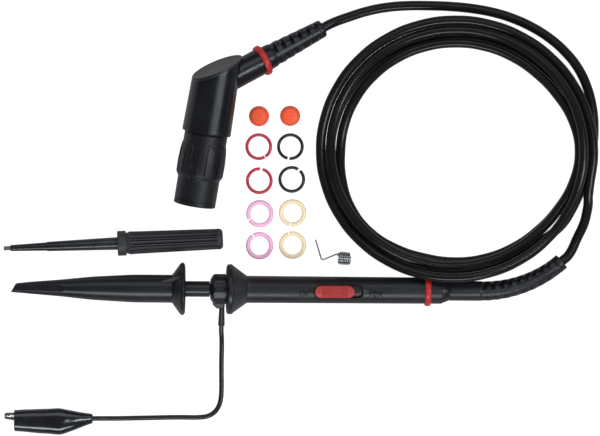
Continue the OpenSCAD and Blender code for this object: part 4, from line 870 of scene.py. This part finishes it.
outer_rows = [0, 0.08, 0.2, 0.4, 0.8, 1.5] + [2.2 + 0.6 * k for k in range(45)] + [28.6, 28.78, 28.87, COVER_LEN]
inner_rows = [COVER_LEN, 28.8, 28, 26, 24, 20, 16, 12, 9, 6.2, 4, 2, 1.5]
clip_points = []
for rows, wall in ((outer_rows, 0), (inner_rows, COVER_WALL)):
    for x in rows:
        middle, thick, ring = cover_ring(x, wall)
        edge = 0.12 * max(0, 1 - (COVER_LEN - x) / 0.12) * (-1 if wall else 1)
        clip_points += [cover_point(x, u * (1 - edge / 4), v * (1 - edge / 3), middle, thick, wall) for u, v in ring]
clip_cover = laid("clip_vinyl", clip_points, tube_faces(len(outer_rows) + len(inner_rows), COVER_SIDES, True), CLIP,
                  vinyl, "ground_lead", ["clip_cover"], "black_plastic", 50)


def metal(name, colour, other, gloss, rub_and_highlight_colour, grain_size=5000, share=1):
    """A bare or plated metal, a little brighter where it is rubbed."""
    return plastic(name, colour, other, gloss, grain_size, 0.000004, rub_and_highlight_colour, 0.3, 0, metal=share)


bright_steel = metal("bright_steel", (0.55, 0.55, 0.56), (0.45, 0.45, 0.46), (0.22, 0.34), (0.75, 0.75, 0.76))


def rounded_copy(name, node, material, body, edge=0.1, corners=25):
    """A stamped or turned piece with its sharp edges broken, as tumbling and plating leave them."""
    shape = bmesh.new()
    shape.from_mesh(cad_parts[node].data)
    bmesh.ops.remove_doubles(shape, verts=shape.verts, dist=1e-7)
    bmesh.ops.dissolve_limit(shape, angle_limit=radians(2), verts=shape.verts, edges=shape.edges)
    mesh = bpy.data.meshes.new(name)
    shape.to_mesh(mesh)
    shape.free()
    mesh.materials.clear()
    mesh.materials.append(material)
    stand = linked(name, mesh)
    bevel = stand.modifiers.new("edges", "BEVEL")
    bevel.width, bevel.segments, bevel.limit_method = edge / 1000, 2, "ANGLE"
    bevel.angle_limit = radians(corners)
    made = plain_mesh(stand)
    made.name = name
    return finish_piece(name, made, body, [node], corners + 10)


upper_jaw = rounded_copy("upper_jaw", "clip_fixed_jaw", bright_steel, "ground_lead", 0.07)
lower_jaw = rounded_copy("lower_jaw", "clip_moving_jaw", bright_steel, "clip_jaw", 0.07)
jaw_pin = rounded_copy("jaw_pin", "clip_pivot", bright_steel, "ground_lead", 0.1)

# ---------- Spring hook tip ----------
# A black moulded sleeve with a thumb flange slides 8 mm back on a glossy tube against a spring,
# so that the steel hook comes out of the slot in its slanted tip. It pulls off the probe's nose.

SLEEVE = PROBE @ moved(0, 0, -79.35)
SLEEVE_SIDES, SLEEVE_R, TIP_R, FLANGE_FROM, FLANGE_TO, SLOT_HALF = 96, 5.15, 1.65, 59.6, 64.25, 0.65
FLAT_END, FLAT_LEVEL, FLAT_SLOPE, TIP_SLANT, SLANT_LEN = 18.9, 1.3, 0.0805, 0.577, 7
sleeve_black = plastic("sleeve_black", BLACK, PALE_BLACK, (0.3, 0.37), 4200, 0.000002, (0.08, 0.08, 0.085), 0.6, 0.03)
sleeve_table = [(0, TIP_R), (19, 3.19), (30, 4.33), (45, SLEEVE_R), (FLANGE_FROM, SLEEVE_R)]
flange_outline = softened([(SLEEVE_R, 57, 0), (SLEEVE_R, 59.35, 0.7), (9.4, 62.4, 0.6), (9.85, 63.4, 0.5),
                           (9.0, 64.1, 0.5), (6.85, FLANGE_TO, 0)], 0, 6)[1:-1]


def sleeve_radius(a, z):
    """The sleeve's round, with the flat that its front part has on one side."""
    r = blurred(z, sleeve_table, 1.5) if z >= 1.5 else stepped(z, sleeve_table)
    level = FLAT_LEVEL + (z + 1) * FLAT_SLOPE
    if cos(a) > 0 and z < FLAT_END + 0.5 and r * cos(a) > level:
        r += (level / cos(a) - r) * eased(FLAT_END - z, 0.5)
    if z < 0.35:
        r -= 0.3 * (1 - sqrt(1 - (1 - z / 0.35) ** 2))
    return r


sleeve_turns = [2 * pi * k / SLEEVE_SIDES for k in range(SLEEVE_SIDES)]
sleeve_rows = spaced((0, 0.35, 3, 18.3, 19.5, 57), (0.07, 0.4, 1.2, 0.12, 1.5))
rings = [[(sleeve_radius(a, z), z) for a in sleeve_turns] for z in sleeve_rows]
inside = [(3.2, FLANGE_TO), (3.05, FLANGE_TO), (3.05, 42), (2.6, 42), (2.6, 24), (0.7, 24), (0.7, 0)]
rings += [[point] * SLEEVE_SIDES for point in flange_outline + inside]
sleeve_points = []
for ring in rings:
    for a, (r, z) in zip(sleeve_turns, ring):
        slant = TIP_SLANT * (TIP_R - r * sin(a)) * max(0, 1 - z / SLANT_LEN)
        sleeve_points.append((r * cos(a), r * sin(a), z + slant))


def solid_mesh(name, points, faces, place, material):
    """A closed mesh that is cut or joined before it becomes a visible piece."""
    return closed(raw_mesh(name, points, faces, place, material))


def carved(mesh, cutters, operation="DIFFERENCE"):
    """The mesh less some closed bodies, or joined with them."""
    stand, guests = linked("carved", mesh), [linked("cutter", cutter) for cutter in cutters]
    for guest in guests:
        cut = stand.modifiers.new("cut", "BOOLEAN")
        cut.operation, cut.solver, cut.object = operation, "EXACT", guest
    return plain_mesh(stand, *guests)


slot_outline = softened([(-9, -SLOT_HALF, 0), (0.6, -SLOT_HALF, 0.25), (0.6, SLOT_HALF, 0.25), (-9, SLOT_HALF, 0)],
                        0.2, 5)
slot_cutter = solid_mesh("slot", *swept([upright(-1), upright(4.2)], lambda i: slot_outline), SLEEVE, sleeve_black)
sleeve_mesh = carved(solid_mesh("hook_sleeve_skin", sleeve_points, tube_faces(len(rings), SLEEVE_SIDES), SLEEVE,
                                sleeve_black), [slot_cutter])
# The thumb ribs are painted a paler grey than the sleeve: a painted highlight that stands in for the bright line
# their ridges catch
worn_black = plastic("worn_black", (0.045, 0.046, 0.05), (0.06, 0.061, 0.065), (0.4, 0.5), 4200, 0.000002,
                     rub_strength=0, dust=0)
# Two thumb ribs stand on the flange's cone; each is a plate whose edges draw in over its last steps
rib_outline = softened([(4.5, 54.4, 0.2), (8.6, 61.9, 0.3), (4.5, 61.9, 0)], 0.2, 6)
RIB_MIDDLE, RIB_TURNS = (5.6, 59.6), (-32, 148)
rib_steps = [(-0.35, 0.94), (-0.32, 0.98), (-0.24, 1), (0.24, 1), (0.32, 0.98), (0.35, 0.94)]
ribbed = bmesh.new()
ribbed.from_mesh(sleeve_mesh)
for side in RIB_TURNS:
    plate = swept([(Vector((0, y, 0)), Vector((1, 0, 0)), Vector((0, 0, 1))) for y, _ in rib_steps],
                  lambda i: [tuple(m + (v - m) * rib_steps[i][1] for m, v in zip(RIB_MIDDLE, corner))
                             for corner in rib_outline])
    smooth_faces = len(ribbed.faces)
    ribbed.from_mesh(solid_mesh("rib", *plate, SLEEVE @ turn("Z", side), worn_black))
    ribbed.faces.ensure_lookup_table()
    for face in ribbed.faces[smooth_faces:]:
        face.material_index = 1
ribbed.to_mesh(sleeve_mesh)
ribbed.free()
sleeve_mesh.materials.append(worn_black)
sleeve_mesh.name = "hook_sleeve_skin"
finish_piece("hook_sleeve_skin", sleeve_mesh, "hook_sleeve", ["hook_sleeve"], 32)

core_shape = softened([(0.4, 32.8), (1.5, 32.8, 0.3), (1.5, 51, 0), (2.9, 51, 0.3), (2.9, 73.25, 0.3),
                       (2.05, 73.25, 0.2), (2.0, 54.15), (1.0, 54.15), (1.0, 47.65), (0.4, 47.65)], 0, 5)
glossy_black = plastic("glossy_black", (0.008, 0.008, 0.009), (0.012, 0.012, 0.014), (0.28, 0.34), 2600, 0.000001,
                       (0.05, 0.05, 0.055), 0.3, 0.02)
laid("core_tube", *turned(core_shape), SLEEVE, glossy_black, "hook_core", ["hook_core"], "black_plastic")

HOOK_BEND, HOOK_WIRE = 0.45, 0.4
hook_steps = ([(0, 0, z) for z in (47.6, 30, 15, 6, 2.2)]
              + [(-HOOK_BEND + HOOK_BEND * cos(radians(v)), 0, 2.2 + HOOK_BEND * sin(radians(v)))
                 for v in range(-15, -181, -15)]
              + [(-2 * HOOK_BEND, 0, z) for z in (2.9, 3.2, 3.27, 3.3)])
hook_sizes = [HOOK_WIRE] * (len(hook_steps) - 2) + [0.36, 0.24]
hook_frames = []
for i, at in enumerate(hook_steps):
    ahead = Vector(hook_steps[min(i + 1, len(hook_steps) - 1)]) - Vector(hook_steps[max(i - 1, 0)])
    hook_frames.append((Vector(at), Vector((0, 1, 0)), Vector((0, 1, 0)).cross(ahead.normalized())))
laid("hook", *swept(hook_frames, lambda i: circle(hook_sizes[i], 24)), SLEEVE, bright_steel, "hook_core",
     ["hook_wire"], "steel", 60)

# ---------- Hook spring ----------
# A coil of thin steel wire between the seat in the sleeve and the core's shoulder. It is pressed
# together as the sleeve slides back, and pushes it forward again.

SEAT, SHOULDER, RELEASE_TURNS, RELEASE_R, RELEASE_WIRE, TURN_STEPS = 24.4, 50.6, 16, 2.2, 0.22, 20
coil_frames = []
for i in range(RELEASE_TURNS * TURN_STEPS + 1):
    a = 2 * pi * i / TURN_STEPS
    out = Vector((cos(a), sin(a), 0))
    at = RELEASE_R * out + Vector((0, 0, SEAT + (SHOULDER - SEAT) * i / (RELEASE_TURNS * TURN_STEPS)))
    along = Vector((-sin(a), cos(a), (SHOULDER - SEAT) / (2 * pi * RELEASE_R * RELEASE_TURNS))).normalized()
    coil_frames.append((at, out, along.cross(out)))
release_spring = laid("release_spring", *swept(coil_frames, lambda i: circle(RELEASE_WIRE, 8)), SLEEVE, bright_steel,
                      None, ["hook_spring"], "steel", 60)
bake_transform(release_spring)

# ---------- Plug: angled housing and its end cover ----------
# A round black moulding whose end is cut at a slant and closed by a thin dark grey cover with a
# pale rim, partly rubbed and partly a painted highlight; a short arm leaves it at 55 degrees. A small
# hole on the far side shows the trimmer.

HOUSING_FROM, HOUSING_TO, SLANT, HOUSING_SIDES = 27.1, 52, radians(32), 128
housing_black = plastic("housing_black", BLACK, COOL_BLACK, (0.17, 0.24), 5600, 0.00003, (0.08, 0.08, 0.085),
                        dust=0.01)
# The cover's paler edge colour paints its rim pale: partly rubbing, partly a painted highlight along the rim
cover_grey = plastic("cover_grey", (0.011, 0.012, 0.015), (0.016, 0.017, 0.021), (0.28, 0.4), 5200, 0.00005,
                     (0.16, 0.16, 0.17), 0.5, 0.03)


def housing_radius(z):
    """The housing's round, which tapers a little towards the slanted end."""
    return 9.05 - 0.55 * (z - HOUSING_FROM) / (HOUSING_TO - HOUSING_FROM)


def slant_height(x, depth=0):
    """Height of the slanted end over a point x towards the arm, or of a level below it."""
    return HOUSING_TO + x * sin(SLANT) / cos(SLANT) - depth / cos(SLANT)


def slanted(rows):
    """A lathe whose rows, (fraction up, inset, depth), run from the flat foot to the slanted end."""
    points = []
    for up, inset, depth in rows:
        for x, y in circle(1, HOUSING_SIDES):
            z = HOUSING_FROM
            for _ in range(6):
                z = HOUSING_FROM + (up if depth is None else (
                    slant_height((housing_radius(z) - inset) * x, depth) - HOUSING_FROM) * up)
            points.append(((housing_radius(z) - inset) * x, (housing_radius(z) - inset) * y, z))
    return points


housing_rows = ([(0, 0.3, None), (0.03, 0.15, None), (0.12, 0.04, None), (0.3, 0, None)]
                + [(0.03 + 0.94 * k / 14, 0, 1.0) for k in range(15)]
                + [(0.99, 0, 1.0), (1, 0.02, 1.0), (1, 1.6, 1.0)])
HOLLOW_R, HOLLOW_UP, TRIMMER_HOLE_R, TRIMMER_UP = 6.85, 3.1, 1.5, 36
housing_points = slanted(housing_rows) + [
    (x, y, HOUSING_FROM + up) for r, up in ((6.9, 3.0), (4.62, 3.0), (4.62, 0)) for x, y in circle(r, HOUSING_SIDES)]
housing_body = solid_mesh("plug_housing", housing_points, tube_faces(len(housing_rows) + 3, HOUSING_SIDES), PLUG,
                          housing_black)
arm_shape = softened([(0, 0, 0), (4.95, 0, 0), (4.95, 21.95, 0.3), (3.35, 21.95, 0.1), (3.35, 1.0, 0), (0, 1.0, 0)],
                     0, 4)
arm_body = solid_mesh("plug_arm", *turned(arm_shape), ARM, housing_black)
hollow = swept([upright(HOUSING_FROM + HOLLOW_UP), upright(70)], lambda i: circle(HOLLOW_R, HOUSING_SIDES))
hole = swept([upright(0), upright(20)], lambda i: circle(TRIMMER_HOLE_R, 48))
cover_seat = slanted([(1, -0.15, 0.995), (1, -0.15, -8)]), tube_faces(2, HOUSING_SIDES, True)
housing_mesh = carved(carved(housing_body, [arm_body], "UNION"), [
    solid_mesh("cutter", *body, place, housing_black) for body, place in (
        (hollow, PLUG), (cover_seat, PLUG), (hole, PLUG @ moved(0, 0, TRIMMER_UP) @ turn("X", -90)))])
plug_housing = finish_piece("plug_housing", housing_mesh, "probe", ["connector_housing"], 30)

# The cover is a slab with a raised edge line, bright from the light it catches and from a painted
# highlight in its paler edge colour, and a shallow dished face
cover_rows = [(1, inset, depth) for inset, depth in (
    (1.2, 0.98), (0.02, 0.98), (0, 0.9), (0, 0.2), (0.06, 0.06), (0.22, 0.0), (0.55, 0.0), (0.7, 0.05), (0.85, 0.12),
    (1.2, 0.14), (3, 0.14), (5.5, 0.12), (8.2, 0.1))]
plug_cover = laid("plug_cover", slanted(cover_rows), tube_faces(len(cover_rows), HOUSING_SIDES, True), PLUG,
                  cover_grey, "probe", ["connector_cover"], "black_plastic", 35)

# ---------- Plug: bayonet grip ----------
# The sleeve that turns round the connector, with six raised panels for the fingers. Each panel
# ends in an arch and has a thin slot along its middle.

GRIP_LEN, MOUTH, FIRST_PANEL, PANEL_ARCH, PANEL_HALF, PANEL_TO, SLOT_FROM = 26.9, 10.2, -98.5, 20.4, 3.1, 24.9, 12
panel_table = [(10.0, 0), (11.5, 0.85), (12.2, 0.95), (16, 1.0), (20, 0.8), (23, 0.4), (PANEL_TO, 0.1)]
grip_black = plastic("grip_black", BLACK, COOL_BLACK, (0.34, 0.44), 5200, 0.00004, (0.10, 0.10, 0.105), 0.7, 0.04)


def grip_radius(a, z):
    """The grip's round, with a groove near the mouth and six slotted panels."""
    r = GRIP_R + 0.2 * eased(z - MOUTH - 0.5, 1.0)
    r -= 0.25 * eased(z - 1.6, 0.12) * eased(1.95 - z, 0.12)
    r -= rounding(z, 0.3) + rounding(GRIP_LEN - z, 0.4)
    turned_by = (degrees(a) - FIRST_PANEL) / 60
    across = 8.3 * sin(radians((turned_by - round(turned_by)) * 60))
    edge = PANEL_HALF - (abs(across) if z < PANEL_ARCH else hypot(across, z - PANEL_ARCH))
    panel = max(0, stepped(z, panel_table) - (r - GRIP_R)) if z < PANEL_TO else 0
    raised = panel * eased(edge, 0.22) * eased(z - (MOUTH - 0.2), 0.3)
    slot = eased(0.3 - abs(across), 0.14) * eased(z - SLOT_FROM, 0.2) * eased(edge, 0.3)
    return r + raised * (1 - slot)


grip_turns = [radians(FIRST_PANEL + 60 * k + v) for k in range(6)
              for v in spaced((-30, -23.6, -19.8, -3.4, -0.9, 0.9, 3.4, 19.8, 23.6, 30),
                              (3.2, 0.32, 1.2, 0.36, 0.9, 0.36, 1.2, 0.32, 3.2))[:-1]]
grip_rows = spaced((0, 0.3, 1.5, 2.1, 9.8, 11.7, 12.4, 20, 23.8, 26.5, GRIP_LEN),
                   (0.05, 0.4, 0.06, 1.0, 0.12, 0.12, 0.5, 0.12, 0.5, 0.08))
grip_inside = [(4.9, GRIP_LEN), (4.9, 17.8), (6.5, 17.8), (6.5, 0.8), (5.9, 0.8), (5.9, 0)]
grip_points = [(grip_radius(a, z) * cos(a), grip_radius(a, z) * sin(a), z) for z in grip_rows for a in grip_turns]
grip_points += [(r * cos(a), r * sin(a), z) for r, z in grip_inside for a in grip_turns]
plug_grip = laid("plug_grip", grip_points, tube_faces(len(grip_rows) + len(grip_inside), len(grip_turns)), PLUG,
                 grip_black, "bayonet_grip", ["grip_sleeve"], "black_plastic", 34)

nickel = metal("nickel_plate", (0.52, 0.50, 0.47), (0.44, 0.42, 0.40), (0.2, 0.32), (0.72, 0.70, 0.66), 4200)
plug_shell = rounded_copy("plug_shell", "bayonet_shell", nickel, "bayonet_grip", 0.12)

# ---------- Trimming tool ----------
# A thin screwdriver for the trimmer: a flat steel blade moulded into a two-step plastic shaft, a
# collar, and a handle with twelve flutes for the fingertips. It lies by itself on the table.

TOOL_PITCH = degrees(asin(0.9 / 38))
COLLAR_HALF, COLLAR_EDGE, HANDLE_FROM, HANDLE_TO = 4.6, 45.2, 42, 81
tool_rise = COLLAR_HALF * cos(radians(TOOL_PITCH)) + COLLAR_EDGE * sin(radians(TOOL_PITCH))
TOOL = moved(-104, -11.9, tool_rise) @ turn("Z", 2.5) @ turn("Y", 90 + TOOL_PITCH) @ turn("Z", 180)
tool_black = plastic("tool_black", BLACK, PALE_BLACK, (0.18, 0.28), 4200, 0.00001, (0.09, 0.09, 0.095), 0.5, 0.03)
handle_black = plastic("handle_black", (0.021, 0.021, 0.024), (0.031, 0.031, 0.035), (0.42, 0.55), 4200, 0.00003,
                       (0.11, 0.11, 0.115), 0.5, 0.03)
shaft_shape = softened([(0, 2.5, 0), (1.15, 2.5, 0.25), (1.55, 16, 0), (1.75, 16, 0.18), (2.35, HANDLE_FROM, 0),
                        (0, HANDLE_FROM, 0)], 0, 5)
laid("tool_shaft_skin", *turned(shaft_shape, 64), TOOL, tool_black, "trimming_tool", ["tool_shaft"],
     "black_plastic", 35)
blade_steel = metal("blade_steel", (0.52, 0.46, 0.40), (0.42, 0.37, 0.32), (0.34, 0.46), (0.70, 0.64, 0.58))
blade_outline = softened([(-0.25, -0.8), (0.25, -0.8), (0.25, 0.8), (-0.25, 0.8)], 0.08, 3)
blade_steps = [(0, 0.94), (0.05, 1), (5.5, 1)]
laid("blade", *swept([upright(z) for z, _ in blade_steps],
                     lambda i: [(x, y * blade_steps[i][1]) for x, y in blade_outline]),
     TOOL, blade_steel, "trimming_tool", ["tool_blade"], "steel", 35)

handle_table = softened([(0.01, HANDLE_FROM, 0), (COLLAR_HALF, HANDLE_FROM, 0.45), (COLLAR_HALF, COLLAR_EDGE, 0.5),
                         (3.8, 45.3, 0.2), (3.85, 45.6, 0.25), (4.3, 46.7, 0.6), (3.85, HANDLE_TO, 1.9),
                         (0.01, HANDLE_TO, 0)], 0, 8)
FLUTE_R, FLUTE_FROM, FLUTE_TO = 0.55, 46.2, 79.3


def flute_floor(a, z):
    """The radius a flute cuts the handle down to at an angle round it, or 0 beside the flutes."""
    turned_by = degrees(a) / 30
    across = abs(4.1 * sin(radians((turned_by - round(turned_by)) * 30)))
    if across > 0.72 or z < FLUTE_FROM or z > FLUTE_TO:
        return 0
    middle = 4.45 - (z - 46.4) * 0.01745
    return (middle - sqrt(max(0, FLUTE_R ** 2 - min(across, 0.53) ** 2))) * eased(0.62 - across, 0.2)


handle_turns = [radians(30 * k + v) for k in range(12)
                for v in spaced((-15, -9.5, -6.5, 6.5, 9.5, 15), (2.75, 0.75, 1.3, 0.75, 2.75))[:-1]]
handle_rows = []
for (r1, z1), (r2, z2) in zip(handle_table, handle_table[1:]):
    pieces = max(1, ceil((z2 - z1) / 1.2))
    handle_rows += [(r1 + (r2 - r1) * k / pieces, z1 + (z2 - z1) * k / pieces) for k in range(pieces)]
handle_rows.append(handle_table[-1])
handle_points = []
for r, z in handle_rows:
    for a in handle_turns:
        cut = flute_floor(a, z)
        own = r - (r - cut) * eased(z - 46.9, 0.7) * eased(78.9 - z, 0.5) if 0 < cut < r else r
        handle_points.append((own * cos(a), own * sin(a), z))
laid("tool_handle_skin", handle_points, tube_faces(len(handle_rows), len(handle_turns), True), TOOL, handle_black,
     "trimming_tool", ["tool_handle"], "black_plastic", 38)

# ---------- Ground spring ----------
# Seven turns of plated spring wire, wound close and drawn in at both ends, that push onto the
# nose in place of the ground lead. A straight tail is bent aside to touch a ground pad.

spring_frame = moved(19.7, -15.1, 2.5) @ turn("Z", -14)
spring_route = [(-9.9, 4.2, -2.15), (-8.1, 1.15, -2.15), (-6.4, -1.75, -2.15), (-5.95, -2.3, -2.15),
                (-5.3, -2.25, -2.15), (-3.2, -0.75, -2.15), (-1, 0.8, -2.1)]
tail_points = len(spring_route)
SPRING_TURNS, SPRING_PITCH, SPRING_R, SPRING_WIRE, SPRING_TIP, SPRING_STEPS = 7, 0.66, 2.2, 0.29, 0.23, 24
SPRING_MIDDLE, SPRING_LEAN = Vector((2.05, 0, 0)), turn("Z", 9)
for i in range(SPRING_STEPS * SPRING_TURNS + 1):
    a = radians(360 * i / SPRING_STEPS - 60)
    drawn_in = SPRING_R - 0.5 * abs(2 * i / (SPRING_STEPS * SPRING_TURNS) - 1) ** 5
    along = SPRING_PITCH * (i / SPRING_STEPS - SPRING_TURNS / 2)
    spring_route.append(SPRING_MIDDLE + SPRING_LEAN @ Vector((along, drawn_in * cos(a), drawn_in * sin(a))))


def smooth_line(points, places, step):
    """A curve through the points; its first places are sampled at equal steps, the rest as they are."""
    line = []
    for i in range(len(points) - 1):
        p = [Vector(points[max(0, min(len(points) - 1, i + d))]) for d in (-1, 0, 1, 2)]
        n = max(1, ceil((p[2] - p[1]).length / step)) if i < places else 1
        for k in range(n):
            t = k / n
            line.append(0.5 * ((2 * p[1]) + (p[2] - p[0]) * t + (2 * p[0] - 5 * p[1] + 4 * p[2] - p[3]) * t ** 2
                               + (3 * p[1] - p[0] - 3 * p[2] + p[3]) * t ** 3))
    return line + [Vector(points[-1])]


spring_line = smooth_line(spring_route, tail_points, 0.35)
side = Vector((0, 0, 1))
spring_frames = []
for i, at in enumerate(spring_line):
    ahead = (spring_line[min(i + 1, len(spring_line) - 1)] - spring_line[max(i - 1, 0)]).normalized()
    side = (side - ahead * side.dot(ahead)).normalized()
    spring_frames.append((at, side, ahead.cross(side)))
spring_steel = metal("spring_wire", (0.66, 0.66, 0.68), (0.54, 0.54, 0.56), (0.12, 0.2), (0.78, 0.78, 0.78),
                     share=0.93)
laid("spring_wire", *swept(spring_frames, lambda i: circle(
    SPRING_WIRE if 0 < i < len(spring_line) - 1 else SPRING_TIP, 14)), spring_frame, spring_steel,
     "ground_spring", ["ground_spring"], "steel", 60)

# ---------- Spare caps ----------
# Two soft orange caps that insulate the bare nose when the hook is off. Each is a plain dome on a
# thin rim, with a small dimple at the middle of its top.

cap_orange = plastic("cap_orange", (0.97, 0.115, 0.034), (0.83, 0.085, 0.026), (0.3, 0.42), 2600, 0.00002,
                     (0.95, 0.3, 0.12), 0.2, 0.02)
cap_shape = softened([(2.0, 0, 0.15), (3.75, 0, 0.12), (3.75, 1.0, 0.2), (3.5, 1.2, 0.15), (3.3, 3.3, 0.9),
                      (2.5, 4.0, 0.6), (0.5, 4.2, 0.2), (0.3, 4.0, 0.1), (0, 4.0, 0), (0, 2.8, 0), (2.0, 2.8, 0.1)],
                     0, 7)
for index, (x, y) in enumerate(((-9.8, 37), (1.7, 37.1)), 1):
    laid(f"cap_{index}", *turned(cap_shape), moved(x, y, 0), cap_orange, f"spare_cap_{index}",
         [f"spare_cap_{index}"], "orange_plastic", 45)

# ---------- Spare marker rings ----------
# Eight split rings of soft glossy plastic, two of each colour. Each is a length of round section
# bent nearly closed; its cut ends are flat with slightly rounded edges.

ring_tree, ring_in, ring_out = node_group("split_ring", "GeometryNodeTree", [
    ("Line", "Geometry"), ("Radius", "Float"), ("Wire Radius", "Float"), ("Opening", "Float"), ("Turned", "Float"),
    ("Material", "Material")], [("Ring", "Geometry")])
arc = new_node(ring_tree, "GeometryNodeCurveArc", Resolution=120)
section = new_node(ring_tree, "GeometryNodeCurvePrimitiveCircle", Resolution=28)
sweep = new_node(ring_tree, "GeometryNodeCurveToMesh", Fill_Caps=True)
half_open = maths(ring_tree, "MULTIPLY", 0.5)
start_at, sweep_by, from_end, near_end = (maths(ring_tree, way) for way in ("ADD", "SUBTRACT", "SUBTRACT", "MINIMUM"))
sweep_by.inputs[0].default_value = 2 * pi
from_end.inputs[0].default_value = 1
along_ring, scaled, ring_real, ring_paint = (new_node(ring_tree, kind) for kind in (
    "GeometryNodeSplineParameter", "GeometryNodeSetCurveRadius", "GeometryNodeRealizeInstances",
    "GeometryNodeSetMaterial"))
# The section narrows a little over the last step before each cut end
thin = new_node(ring_tree, "ShaderNodeMapRange", From_Max=0.008, To_Min=0.86)
connect(ring_tree, (ring_in, "Opening", half_open, 0), (ring_in, "Turned", start_at, 0), (half_open, 0, start_at, 1),
        (ring_in, "Opening", sweep_by, 1), (start_at, 0, arc, "Start Angle"), (sweep_by, 0, arc, "Sweep Angle"),
        (ring_in, "Radius", arc, "Radius"), (ring_in, "Wire Radius", section, "Radius"),
        (along_ring, "Factor", from_end, 1), (along_ring, "Factor", near_end, 0), (from_end, 0, near_end, 1),
        (near_end, 0, thin, "Value"), (arc, "Curve", scaled, "Curve"), (thin, "Result", scaled, "Radius"),
        (scaled, "Curve", sweep, "Curve"), (section, "Curve", sweep, "Profile Curve"),
        (sweep, "Mesh", ring_real, "Geometry"), (ring_real, "Geometry", ring_paint, "Geometry"),
        (ring_in, "Material", ring_paint, "Material"), (ring_paint, "Geometry", ring_out, "Ring"))
if "Scale" in sweep.inputs:
    connect(ring_tree, (thin, "Result", sweep, "Scale"))


def ring_plastic(name, colour, other, gloss, rub_and_highlight_colour, dust=0.01):
    """The soft glossy plastic of the split rings."""
    return plastic(name, colour, other, gloss, 900, 0.000015, rub_and_highlight_colour, 0.15, dust, coat=0.08)


RED_KIND, PALE_KIND = (9.95, 1.18), (10.15, 1.6)
ring_kinds = {
    "red": (ring_plastic("ring_crimson", (0.56, 0.030, 0.062), (0.48, 0.024, 0.052), (0.28, 0.38), (0.9, 0.2, 0.25)),
            "crimson_plastic", RED_KIND, ((-9.9, 25.7, -58, 4), (-9.7, 13.1, 80, 12))),
    "black": (ring_plastic("ring_blue_black", (0.012, 0.013, 0.020), (0.018, 0.019, 0.028), (0.28, 0.38),
                           (0.08, 0.08, 0.1), 0.02),
              "navy_plastic", RED_KIND, ((1.8, 25.7, -99, 9), (2.3, 13.6, 52, 11))),
    "pink": (ring_plastic("ring_pink", (0.96, 0.50, 0.72), (0.91, 0.46, 0.67), (0.3, 0.4), (0.95, 0.7, 0.85)),
             "pink_plastic", PALE_KIND, ((-9.5, 0.9, 209, 5), (-9.6, -10.9, 123, 6))),
    "cream": (ring_plastic("ring_cream", (0.97, 0.79, 0.50), (0.93, 0.74, 0.46), (0.3, 0.4), (0.95, 0.85, 0.6)),
              "cream_plastic", PALE_KIND, ((2.6, 1.2, 260, 3.5), (2.6, -10.7, 106, 3.5)))}
for colour, (paint, slot_name, (outer, wire), places) in ring_kinds.items():
    for index, (x, y, gap_at, opening) in enumerate(places, 1):
        node = f"ring_{colour}_{index}"
        mesh = grown(node, bpy.data.meshes.new("line"), ring_tree, Radius=(outer - wire) / 2000,
                     Wire_Radius=wire / 2000, Opening=radians(opening), Turned=radians(gap_at), Material=paint)
        mesh.transform(moved(x / 1000, y / 1000, wire / 2000))
        finish_piece(f"split_{colour}_{index}", mesh, node, [node], 50)

# ---------- Inner pieces ----------
# What the housings hide, in its own materials: plated contacts and terminals, steel springs, a
# white insulator, two small green boards, the tip resistor and the two capacitors.

inner_paints = {
    "black_plastic": moulded,
    "steel": nickel,
    "plated_brass": metal("plated_brass", (0.68, 0.50, 0.22), (0.58, 0.42, 0.18), (0.2, 0.32), (0.85, 0.7, 0.4),
                          4200),
    "white_insulator": plastic("white_insulator", (0.80, 0.78, 0.72), (0.74, 0.71, 0.65), (0.35, 0.5), 3200, 0.00001,
                               dust=0, rub_strength=0.1),
    "board": plastic("board_green", (0.03, 0.20, 0.09), (0.025, 0.15, 0.07), (0.3, 0.42), 1200, 0.00001,
                     (0.3, 0.4, 0.2), 0.3, 0.02),
    "resistor": plastic("resistor_blue", (0.08, 0.26, 0.38), (0.06, 0.2, 0.31), (0.24, 0.36), 1200, 0.00001,
                        dust=0, rub_strength=0.1),
    "capacitor": plastic("capacitor_brown", (0.55, 0.30, 0.09), (0.47, 0.24, 0.07), (0.36, 0.5), 2200, 0.00001,
                         dust=0, rub_strength=0.1)}
inner_slots = {
    "black_plastic": ("nose_tube",),
    "steel": ("ground_ferrule", "ground_contact_ring", "clip_spring", "bnc_body", "bayonet_washer"),
    "plated_brass": ("tip_pin", "fixed_contacts", "moving_contact", "tip_socket", "trimmer_screw", "bnc_centre_pin"),
    "white_insulator": ("trimmer_body", "bnc_insulator"),
    "board": ("switch_board", "connector_board"), "resistor": ("tip_resistor",), "capacitor": ("tip_capacitor",)}
for slot_name, nodes in inner_slots.items():
    for node in nodes:
        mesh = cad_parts[node].data
        mesh.materials.clear()
        mesh.materials.append(inner_paints[slot_name])
